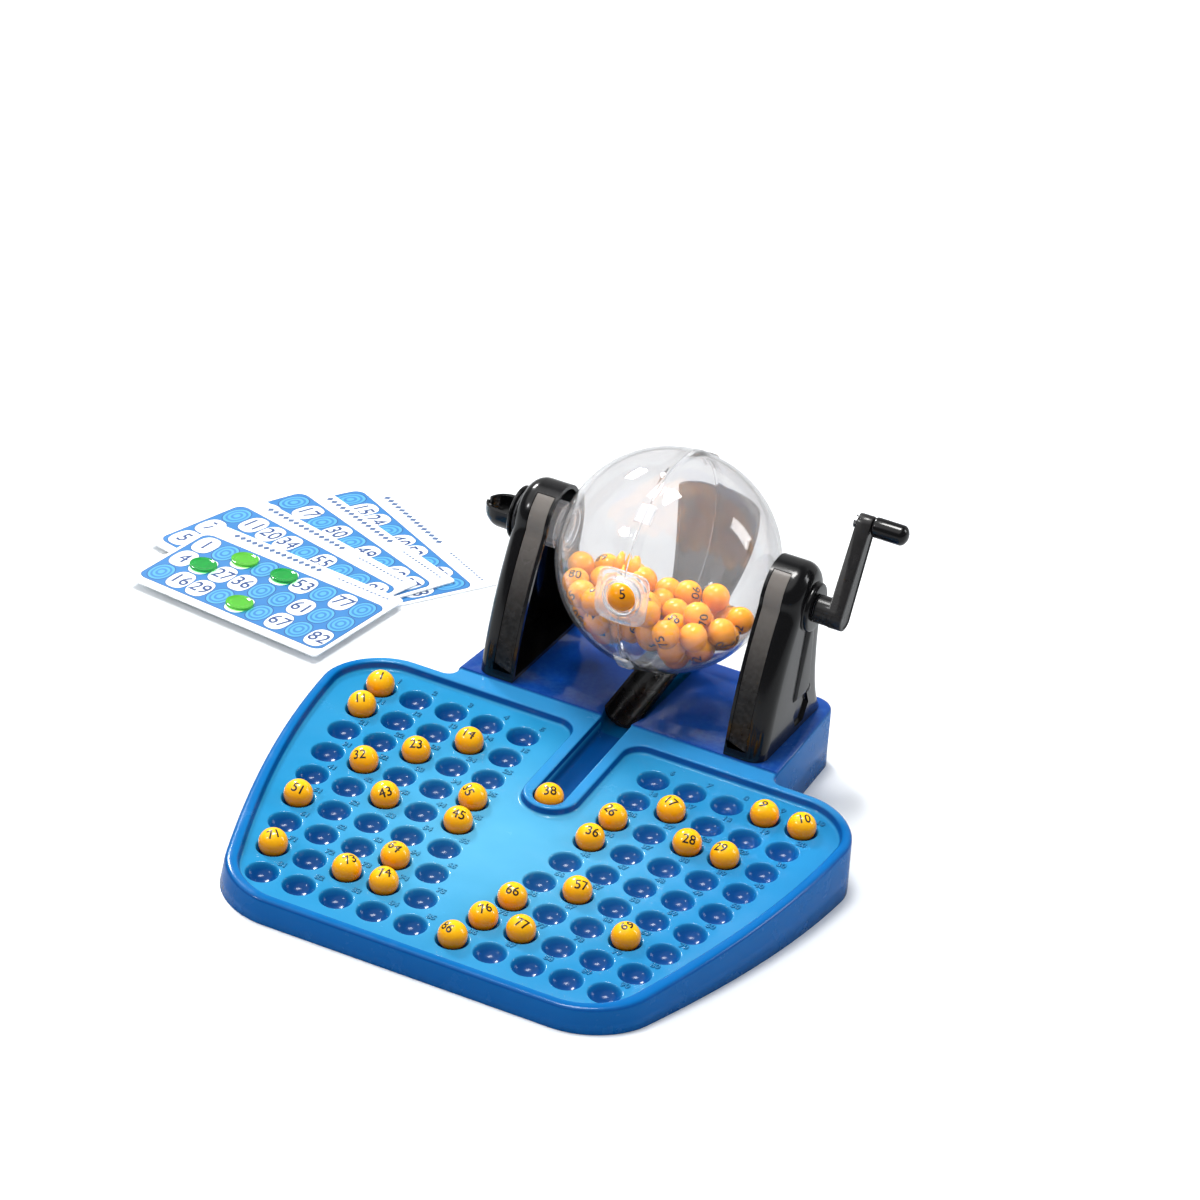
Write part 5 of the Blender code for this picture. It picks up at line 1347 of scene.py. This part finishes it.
# The chute: a trough on the way to the channel that spreads into a scoop behind the globe
chute = {
    "overlap": 0.0065, "slope": radians(9), "bore": 0.0074, "wall": 0.0014, "drop": 0.0007, "scoopHalf": 0.0205,
    "scoopDepth": 0.0085, "topAngle": radians(9), "lineSteps": 8, "scoopSteps": 22, "sectionSteps": 20,
    "legWidth": 0.020, "legThickness": 0.003, "legBack": 0.030, "legCorner": 0.0012,
}


def chuteStations():
    frontY = layout["stepY"] + tray["deckStepRun"] + chute["overlap"]
    bed = rimTop(frontY) - tray["channelDepth"] + chute["drop"] + chute["wall"]
    slope = chute["slope"]
    radius = (axleHeight - bed - (axleY - frontY) * tan(slope)) * cos(slope)
    lineEnd = axleY + radius * sin(slope)
    stations = []
    for k in range(chute["lineSteps"]):
        y = frontY + (lineEnd - frontY) * k / chute["lineSteps"]
        stations.append((y, bed + (y - frontY) * tan(slope), slope, 0.0))
    for k in range(chute["scoopSteps"] + 1):
        share = k / chute["scoopSteps"]
        turn = slope + (pi / 2 + chute["topAngle"] - slope) * share
        stations.append((axleY + radius * sin(turn), axleHeight - radius * cos(turn), turn, share))
    return stations


def troughRing(bm, station, wall):
    y, z, slope, share = station
    ease = share * share * (3 - 2 * share)
    half = chute["bore"] + (chute["scoopHalf"] - chute["bore"]) * ease + wall
    depth = chute["bore"] + (chute["scoopDepth"] - chute["bore"]) * ease
    points = []
    for k in range(chute["sectionSteps"] + 1):
        angle = pi * k / chute["sectionSteps"]
        inward = depth - (depth + wall) * sin(angle)
        points.append((half * cos(angle), y - inward * sin(slope), z + inward * cos(slope)))
    return ringOf(bm, points)


def buildChute():
    bm = bmesh.new()
    stations = chuteStations()
    inner = [troughRing(bm, station, 0.0) for station in stations]
    outer = [troughRing(bm, station, chute["wall"]) for station in stations]
    thickSheet(bm, inner, outer)
    legY = axleY + chute["legBack"]
    radius = hypot(stations[-1][0] - axleY, axleHeight - stations[-1][1])
    middle = radius + chute["wall"] / 2
    legTop = axleHeight - sqrt(middle ** 2 - chute["legBack"] ** 2)
    halfWidth, halfThick = chute["legWidth"] / 2, chute["legThickness"] / 2
    foot = layout["deckHeight"] + runningGap
    leg = prismZ(roundRectangle(halfWidth, halfThick, legY, chute["legCorner"], 5), foot, legTop)
    solid = carve(bm, [("UNION", leg)])
    thing = makePiece("ballChute", solid, [plastics["scoopBlack"]], "base", ["ball_chute"], 45)
    return softEdge(thing, 0.0003, 50)


buildChute()
print("chute made")


# Balls: every one has its number printed on its skin
balls = {
    "trayNumbers": (1, 11, 14, 23, 32, 35, 43, 45, 51, 64, 71, 73, 74,
                    9, 10, 17, 26, 28, 29, 36, 57, 66, 69, 76, 77, 86),
    "channelNumber": 38, "exitNumber": 5, "total": 90, "sides": 32, "rings": 16, "ink": 0.00003,
    "numberSize": 0.0062, "numberGrid": 0.0009, "seam": 0.00004,
    "pileWall": 0.0004, "pileBite": 0.0002, "grooveGap": 0.0014, "settleSteps": 1200, "settleStep": 0.00022,
    "towardsCamera": 0.6,
}
camera = {
    "place": Vector((0.9078, -2.0595, 1.3066)), "across": radians(22.374), "down": radians(28.626),
    "roll": radians(7.0), "lens": 172.56, "sensor": 36.0,
}
chance = np.random.default_rng(7)


def ballShape(radius, sides, rings):
    # points and faces of a turned ball with its moulding seam as a fine ridge at the middle
    points, faces = [(0.0, 0.0, radius)], []
    for k in range(1, rings):
        polar = pi * k / rings
        size = radius + (balls["seam"] if 2 * k == rings else 0.0)
        points += [(size * sin(polar) * cos(2 * pi * j / sides), size * sin(polar) * sin(2 * pi * j / sides),
                    size * cos(polar)) for j in range(sides)]
    points.append((0.0, 0.0, -radius))
    last = len(points) - 1
    for j in range(sides):
        after = (j + 1) % sides
        faces.append([0, 1 + j, 1 + after])
        faces.append([last, last - sides + after, last - sides + j])
        for k in range(rings - 2):
            low, high = 1 + k * sides, 1 + (k + 1) * sides
            faces.append([low + j, high + j, high + after, low + after])
    return [Vector(point) for point in points], faces


def wrapOnBall(centre, radius, turn):
    # bends the flat number over the ball, a hair above its skin
    def placed(point):
        reach = hypot(point.x, point.y)
        bend = reach / radius
        share = sin(bend) / reach if reach > 1e-9 else 1.0 / radius
        skin = Vector((point.x * share, point.y * share, cos(bend))) * (radius + balls["ink"])
        return centre + turn @ skin
    return placed


def numberTurn(facing, spin):
    # a turn whose Z looks along facing and whose Y stays near up, with a spin in its own plane
    z = facing.normalized()
    x = Vector((0.0, 0.0, 1.0)).cross(z)
    x = x.normalized() if x.length > 1e-4 else Vector((1.0, 0.0, 0.0))
    y = z.cross(x)
    return Matrix((x, y, z)).transposed() @ Matrix.Rotation(spin, 3, "Z")


def addBall(bm, centre, number, radius, facing, spin, sides=None, rings=None):
    centre = Vector(centre)
    turn = numberTurn(facing, spin)
    seamTurn = turn @ Matrix.Rotation(radians(62), 3, "Y")
    shape = ballShape(radius, sides or balls["sides"], rings or balls["rings"])
    addShape(bm, shape, lambda point: centre + seamTurn @ point, 0)
    size = balls["numberSize"] * radius / layout["ballRadius"]
    text = numberShape(str(number), size, 0.0, balls["numberGrid"])
    addShape(bm, text, wrapOnBall(centre, radius, turn), 1)


def toCamera(centre):
    return (camera["place"] - gameShift - centre).normalized()


def facingUp(centre, lift):
    return toCamera(centre) * balls["towardsCamera"] + Vector((0.0, 0.0, lift))


def lookedAt(centre, lift, spread):
    jitter = Vector(chance.normal(0.0, spread, 3).tolist())
    return facingUp(centre, lift) + jitter


def gameCentre(node):
    return middleOf(node) - gameShift


def buildTrayBalls():
    bm = bmesh.new()
    for number in balls["trayNumbers"]:
        centre = gameCentre("ball_" + str(number))
        addBall(bm, centre, number, layout["ballRadius"], lookedAt(centre, 0.75, 0.22), chance.uniform(-0.5, 0.5))
    nodes = ["ball_" + str(number) for number in balls["trayNumbers"]]
    materials = [plastics["ballYellow"], plastics["numberInk"]]
    return makePiece("trayBalls", bm, materials, "base", nodes, 60, recalc=False)


def buildSingleBall(name, node, body, number, finish, lift, spin):
    bm = bmesh.new()
    centre = gameCentre(node)
    addBall(bm, centre, number, layout["ballRadius"], facingUp(centre, lift), spin, 48, 24)
    materials = [plastics[finish], plastics["numberInk"]]
    return makePiece(name, bm, materials, body, [node], 60, recalc=False)


def pushApart(points, spacing):
    gaps = points[:, None, :] - points[None, :, :]
    distance = np.linalg.norm(gaps, axis=2)
    np.fill_diagonal(distance, spacing)
    overlap = np.clip(spacing - distance, 0.0, None)
    points += (gaps / np.maximum(distance, 0.0003)[:, :, None] * overlap[:, :, None]).sum(axis=1) / 2


def keepOffGroove(points, grooveHalf, grooveRadius):
    # the port collar sweeps a ring about the axle; each ball stays its radius away from it
    radial = np.hypot(points[:, 1], points[:, 2])
    beside = np.maximum(np.abs(points[:, 0]) - grooveHalf, 0.0)
    inside = np.maximum(-np.maximum(radial - grooveRadius, -2 * layout["ballRadius"]), 0.0)
    distance = np.hypot(beside, inside)
    short = np.clip(layout["ballRadius"] + balls["grooveGap"] - distance, 0.0, None)
    safe = np.maximum(distance, 0.0003)
    points[:, 0] += np.sign(points[:, 0]) * short * beside / safe
    scale = (radial - short * inside / safe) / np.maximum(radial, 0.0003)
    points[:, 1] *= scale
    points[:, 2] *= scale


def settledPile(count):
    spacing = 2 * layout["ballRadius"] - balls["pileBite"]
    reach = globeInner - layout["ballRadius"] - balls["pileWall"]
    rows = []
    layer = 0
    while len(rows) < count:
        height = -reach + layer * spacing * sqrt(2 / 3)
        shift = spacing / 2 * (layer % 2)
        limit = sqrt(max(reach ** 2 - height ** 2, 0.0))
        steps = int(limit / spacing) + 1
        for i in range(-steps, steps + 1):
            for j in range(-steps, steps + 1):
                x = i * spacing + shift + spacing / 2 * (j % 2)
                y = j * spacing * sqrt(3) / 2 + shift * 0.3
                if hypot(x, y) < limit and len(rows) < count:
                    rows.append((x, y, height))
        layer += 1
    points = np.array(rows)
    grooveHalf = globe["collarBore"] + globe["collarWall"] + balls["grooveGap"]
    grooveRadius = globeInner - globe["collarLength"] - balls["grooveGap"]
    steps = balls["settleSteps"]
    for step in range(steps + steps // 3):
        fade = max(1 - step / steps, 0.0)
        points[:, 2] -= balls["settleStep"] * fade
        points[:, 1] -= balls["settleStep"] * 0.3 * fade
        for _ in range(3 if fade else 1):
            pushApart(points, spacing)
            keepOffGroove(points, grooveHalf, grooveRadius)
            distance = np.linalg.norm(points, axis=1)
            over = distance > reach
            points[over] *= (reach / distance[over])[:, None]
    return [globeCentre + Vector(point) for point in points.tolist()]


def buildGlobeBalls():
    used = set(balls["trayNumbers"]) | {balls["channelNumber"], balls["exitNumber"]}
    numbers = [number for number in range(1, balls["total"] + 1) if number not in used]
    chance.shuffle(numbers)
    centres = settledPile(len(numbers))
    points = np.array([tuple(centre) for centre in centres])
    gaps = np.linalg.norm(points[:, None, :] - points[None, :, :], axis=2)
    np.fill_diagonal(gaps, 1.0)
    radius = min(layout["ballRadius"], float(np.quantile(gaps.min(axis=1), 0.5)) / 2)
    print("heap ball radius", round(radius * 1000, 3), "mm, nearest pair", round(float(gaps.min()) * 1000, 2), "mm")
    bm = bmesh.new()
    for number, centre in zip(numbers, centres):
        facing = lookedAt(centre, 0.1, 0.75)
        addBall(bm, centre, number, radius, facing, chance.uniform(-pi, pi), 28, 14)
    materials = [plastics["heapShadedOrange"], plastics["numberInk"]]
    return makePiece("globeBalls", bm, materials, "base", ["balls_in_globe"], 60, recalc=False)


buildTrayBalls()
buildSingleBall("channelBall", "channel_ball", "channel_ball", balls["channelNumber"], "ballYellow", 0.5, 0.1)
buildSingleBall("exitBall", "exit_ball", "globe", balls["exitNumber"], "heapShadedOrange", 0.1, 0.2)
buildGlobeBalls()
print("balls made")


# Cards: white stock, a blue panel, nine by three cells and a wordless strip along the top
cardSet = {
    "trim": 0.0001,
    "length": 0.108, "width": 0.073, "thickness": 0.0009, "gap": 0.0003, "corner": 0.002, "edge": 0.00012,
    "places": ((-0.205, 0.155), (-0.212, 0.185), (-0.202, 0.210), (-0.186, 0.228)),
    "turns": (radians(-7), radians(-16), radians(-25), radians(-31)),
    "cellWidth": 0.0113, "cellHeight": 0.0178, "panelShift": 0.0035, "panelHalf": (0.0517, 0.0275),
    "panelCorner": 0.0045, "film": 0.00002, "firstFilm": 0.00003, "numberSize": 0.0112,
    "cellOvals": ((0.0056, 0.0088, "outline"), (0.0053, 0.0084, "cell")), "emptyHalf": (0.0054, 0.0086),
    "emptyRings": ((1.0, "outline"), (0.93, "ringLight"), (0.76, "ringDark"), (0.60, "ringLight"),
                   (0.42, "ringDark"), (0.24, "ringLight")),
    "stripIn": 0.0042, "lozenges": (15, 0.014, 0.0034), "dots": (13, 0.034, 0.0023),  # count, start, pitch
    "numbers": (
        ((1, 0, 22, 0, 41, 53, 0, 77, 0), (4, 13, 27, 36, 0, 0, 61, 0, 0), (0, 16, 29, 0, 47, 0, 67, 0, 82)),
        ((0, 11, 20, 34, 0, 55, 0, 0, 81), (7, 0, 24, 0, 46, 0, 63, 70, 0), (5, 18, 0, 39, 0, 58, 0, 74, 0)),
        ((0, 17, 0, 30, 0, 49, 0, 68, 87), (3, 0, 25, 33, 0, 0, 62, 0, 84), (8, 19, 0, 0, 44, 59, 0, 79, 0)),
        ((0, 15, 24, 0, 40, 53, 0, 73, 0), (2, 10, 0, 37, 0, 51, 0, 0, 88), (9, 0, 28, 0, 48, 0, 65, 0, 89)),
    ),
}
chipSet = {
    "cells": ((-3, 0), (-2, 1), (0, 1), (0, -1)), "radius": 0.0066, "thickness": 0.0014, "sides": 48,
    "edge": 0.00035, "dish": 0.00025, "light": (1, 3),
}
cardInks = {
    "white": paint(242, 246, 248), "panel": paint(22, 112, 178), "outline": paint(8, 74, 138),
    "cell": paint(240, 246, 249), "ringLight": paint(70, 158, 208), "ringDark": paint(26, 116, 180),
    "number": paint(14, 60, 120), "strip": paint(66, 96, 140),
}


def cardMaterial(name, colour, mottle, roughness):
    material, tree, shader, output = newMaterial(name)
    surface = placeGroup(tree, paperFibre, Colour=colour, Mottle=mottle, Roughness=roughness)
    dress(tree, surface, shader, 0.06, 0.0001, {"Coat Weight": 0.15, "Coat Roughness": 0.25})
    return material


inkOrder = ("white", "panel", "outline", "cell", "ringLight", "ringDark", "number", "strip")
cardMaterials = [cardMaterial("card" + key[0].upper() + key[1:], cardInks[key], 0.05, 0.42) for key in inkOrder]


def cardLevel(index):
    return (len(cardSet["places"]) - 1 - index) * (cardSet["thickness"] + cardSet["gap"])


def cardPoint(index, across, along):
    turn = cardSet["turns"][index]
    x, y = cardSet["places"][index]
    return (x + across * cos(turn) - along * sin(turn), floorMiddleY + y + across * sin(turn) + along * cos(turn))


def ovalPoints(centre, halfX, halfY, power=2.6, sides=36):
    points = []
    for k in range(sides):
        turn = 2 * pi * k / sides
        a, b = cos(turn), sin(turn)
        points.append((centre[0] + halfX * abs(a) ** (2 / power) * (1 if a >= 0 else -1),
                       centre[1] + halfY * abs(b) ** (2 / power) * (1 if b >= 0 else -1)))
    return points


def addFilm(bm, index, outline, layer, ink):
    # a printed area: one flat face, a hair above the card
    z = cardLevel(index) + cardSet["thickness"] + cardSet["firstFilm"] + layer * cardSet["film"]
    ring = [bm.verts.new((*cardPoint(index, x, y), z)) for x, y in outline]
    face = bm.faces.new(ring)
    if face.normal.z < 0 or sum(a[0] * b[1] - b[0] * a[1] for a, b in zip(outline, outline[1:] + outline[:1])) < 0:
        face.normal_flip()
    face.material_index = inkOrder.index(ink)


def buildCard(index):
    halfX, halfY = cardSet["length"] / 2 - cardSet["trim"], cardSet["width"] / 2 - cardSet["trim"]
    outline = roundRectangle(halfX, halfY, 0.0, cardSet["corner"], 6)
    low, edge = cardLevel(index), cardSet["edge"]
    bm = bmesh.new()
    rings = []
    for inwards, up in ((edge, 0.0), (0.0, edge), (0.0, cardSet["thickness"] - edge), (edge, cardSet["thickness"])):
        rings.append(ringOf(bm, [(*cardPoint(index, x, y), low + up) for x, y in offsetLoop(outline, -inwards)]))
    skinRings(bm, rings, capped=True)
    bmesh.ops.recalc_face_normals(bm, faces=bm.faces)
    shift = -cardSet["panelShift"]
    panelX, panelY = cardSet["panelHalf"]
    panel = roundRectangle(panelX, panelY, shift, cardSet["panelCorner"], 8)
    addFilm(bm, index, offsetLoop(panel, 0.0004), 0, "outline")
    addFilm(bm, index, panel, 1, "panel")
    width, height = cardSet["cellWidth"], cardSet["cellHeight"]
    for row in range(3):
        for column in range(9):
            centre = ((column - 4) * width, (1 - row) * height + shift)
            number = cardSet["numbers"][index][row][column]
            if number:
                for layer, (across, along, ink) in enumerate(cardSet["cellOvals"]):
                    addFilm(bm, index, ovalPoints(centre, across, along), 2 + layer, ink)
                shape = numberShape(str(number), cardSet["numberSize"])
                z = low + cardSet["thickness"] + cardSet["firstFilm"] + 4 * cardSet["film"]

                def placed(point, centre=centre, z=z):
                    return (*cardPoint(index, centre[0] + point.x * 0.86, centre[1] + point.y * 1.12), z)
                addShape(bm, shape, placed, inkOrder.index("number"))
            else:
                across, along = cardSet["emptyHalf"]
                for layer, (share, ink) in enumerate(cardSet["emptyRings"]):
                    addFilm(bm, index, ovalPoints(centre, across * share, along * share, 2.2), 2 + layer, ink)
    # the strip: a chain of lozenges, then a row of small dots, in place of any wording
    stripY = halfY - cardSet["stripIn"]
    count, start, pitch = cardSet["lozenges"]
    for k in range(count):
        x = -halfX + start + k * pitch
        addFilm(bm, index, [(x - 0.0015, stripY), (x, stripY - 0.0021), (x + 0.0015, stripY), (x, stripY + 0.0021)],
                0, "strip")
    count, start, pitch = cardSet["dots"]
    for k in range(count):
        x = halfX - start + k * pitch
        addFilm(bm, index, [(x + a, stripY - 0.0006 + b) for a, b in circlePoints(0.00072, 12)], 0, "strip")
    name = "card" + str(index + 1)
    return makePiece(name, bm, cardMaterials, "card_" + str(index + 1), ["card_" + str(index + 1)], 40,
                     recalc=False)


def buildChip(index):
    column, row = chipSet["cells"][index]
    x, y = cardPoint(0, column * cardSet["cellWidth"], row * cardSet["cellHeight"] - cardSet["panelShift"])
    low = cardLevel(0) + cardSet["thickness"] + cardSet["gap"]
    radius, edge, thick = chipSet["radius"], chipSet["edge"], chipSet["thickness"]
    dish = chipSet["dish"]
    profile = [(radius * 0.5, dish), (radius - 3 * edge, dish), (radius - 2 * edge, 0.0), (radius - edge, 0.0),
               (radius - edge * 0.3, edge * 0.3), (radius, edge), (radius, thick - edge),
               (radius - edge * 0.3, thick - edge * 0.3), (radius - edge, thick), (radius - 2.4 * edge, thick),
               (radius - 3.4 * edge, thick - dish), (radius * 0.5, thick - dish)]
    bm = bmesh.new()
    rings = [ringOf(bm, [(x + a, y + b, low + z) for a, b in circlePoints(r, chipSet["sides"])]) for r, z in profile]
    skinRings(bm, rings, capped=True)
    name = "chip_" + str(index + 1)
    material = clears["chipLime" if index in chipSet["light"] else "chipGreen"]
    return makePiece("chip" + str(index + 1), bm, [material], name, [name], 40)


for index in range(len(cardSet["places"])):
    buildCard(index)
for index in range(len(chipSet["cells"])):
    buildChip(index)
print("cards and chips made")


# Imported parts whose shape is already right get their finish
plainNodes = {
    "left_bush": plastics["bushGrey"], "right_bush": plastics["bushGrey"], "filler_tube": clears["clearFitting"],
    "crank_shaft": plastics["pinSteel"], "knob_pin": plastics["pinSteel"],
}
for nodeName, finish in plainNodes.items():
    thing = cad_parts[nodeName]
    for slot in thing.material_slots:
        slot.material = finish


# Floor, world, lamps and camera
studio = {
    "floorSize": 8.0, "floorColour": paint(238, 241, 244), "worldWhite": 1.0, "worldFill": 0.58,
    "roomDim": 0.14, "backdrop": 0.3, "ceiling": 1.3, "floorGloss": 0.5, "ceilingWay": Vector((-0.339, -0.226, 0.913)),
    "target": Vector((0.0, 0.0, 0.03)),
    "lamps": {
        # name: (place, size across, size along, power, colour)
        "overhead": (Vector((-0.2, 0.1, 1.9)), 0.6, 0.45, 27.0, (1.0, 0.99, 0.97)),
        "leftBack": (Vector((-1.2, 0.9, 1.3)), 0.4, 0.3, 26.0, (1.0, 1.0, 1.0)),
        "leftFront": (Vector((-1.2, -1.3, 1.4)), 0.3, 0.3, 9.0, (1.0, 1.0, 1.0)),
        "rightBack": (Vector((1.5, 0.9, 0.9)), 0.4, 0.8, 8.0, (0.96, 0.98, 1.0)),
    },
}


def buildFloor():
    half = studio["floorSize"] / 2
    bm = bmesh.new()
    bm.faces.new(ringOf(bm, [(x, y, 0.0) for x, y in rectangle(half, half)]))
    material, tree, shader, output = newMaterial("floorPale")
    cloud = rangeNode(tree, noiseNode(tree, objectPlace(tree), 3.0, 2.0), 0.3, 0.7, 0.0, 0.04)
    gloss = product(tree, addNode(tree, "ShaderNodeLightPath").outputs["Is Glossy Ray"], studio["floorGloss"])
    pale = mixColour(tree, cloud, studio["floorColour"], paint(226, 234, 242))
    feed(tree, mixColour(tree, gloss, pale, (0.0, 0.0, 0.0, 1.0)), shader.inputs["Base Color"])
    shader.inputs["Roughness"].default_value = 0.55
    linkedObject("floor", bm, [material])


def buildWorld():
    # white where it is seen, or seen through glass; gloss finds a dim room with a lit ceiling and backdrop
    world = bpy.data.worlds.new("studioWorld")
    world.use_nodes = True
    bpy.context.scene.world = world
    tree = world.node_tree
    tree.nodes.clear()
    output = addNode(tree, "ShaderNodeOutputWorld")
    rays = addNode(tree, "ShaderNodeLightPath").outputs
    way = addNode(tree, "ShaderNodeTexCoord").outputs["Generated"]
    axes = axesOf(tree, way)
    above = addNode(tree, "ShaderNodeVectorMath", operation="DOT_PRODUCT")
    feed(tree, way, above.inputs[0])
    above.inputs[1].default_value = studio["ceilingWay"].normalized()
    ceiling = rangeNode(tree, above.outputs["Value"], 0.72, 0.86, studio["roomDim"], studio["ceiling"])
    behind = rangeNode(tree, axes["Y"], 0.35, 0.6, 0.0, studio["backdrop"])
    behind = product(tree, behind, rangeNode(tree, axes["Z"], 0.6, 0.8, 1.0, 0.0))
    room = mathNode(tree, "ADD", ceiling, behind)
    seen = mathNode(tree, "MAXIMUM", rays["Is Camera Ray"], rays["Is Transmission Ray"])
    fill = rangeNode(tree, rays["Is Glossy Ray"], 0.0, 1.0, studio["worldFill"], room)
    strength = rangeNode(tree, seen, 0.0, 1.0, fill, studio["worldWhite"])
    background = addNode(tree, "ShaderNodeBackground")
    background.inputs["Color"].default_value = (1.0, 1.0, 1.0, 1.0)
    feed(tree, strength, background.inputs["Strength"])
    feed(tree, background.outputs["Background"], output.inputs["Surface"])


def buildLamps():
    for name, (place, across, along, power, colour) in studio["lamps"].items():
        light = bpy.data.lights.new(name, "AREA")
        light.shape = "RECTANGLE"
        light.size = across
        light.size_y = along
        light.energy = power
        light.color = colour
        thing = newObject(name, light)
        thing.location = place
        thing.rotation_euler = (place - studio["target"]).to_track_quat("Z", "Y").to_euler()


def buildCamera():
    across, down, roll = camera["across"], camera["down"], camera["roll"]
    right = Vector((cos(across), sin(across), 0.0))
    back = Vector((sin(across) * cos(down), -cos(across) * cos(down), sin(down)))
    up = back.cross(right)
    sideways = right * cos(roll) + up * sin(roll)
    upwards = up * cos(roll) - right * sin(roll)
    lens = bpy.data.cameras.new("camera")
    lens.sensor_fit = "HORIZONTAL"
    lens.sensor_width = camera["sensor"]
    lens.lens = camera["lens"]
    lens.clip_start = 0.01
    lens.clip_end = 30.0
    thing = newObject("camera", lens)
    turn = Matrix((sideways, upwards, back)).transposed().to_4x4()
    thing.matrix_world = Matrix.Translation(camera["place"]) @ turn
    bpy.context.scene.camera = thing


buildFloor()
buildWorld()
buildLamps()
buildCamera()
bpy.context.scene.view_settings.view_transform = "Standard"
print("stage, lamps and camera made")

bpy.context.view_layer.update()
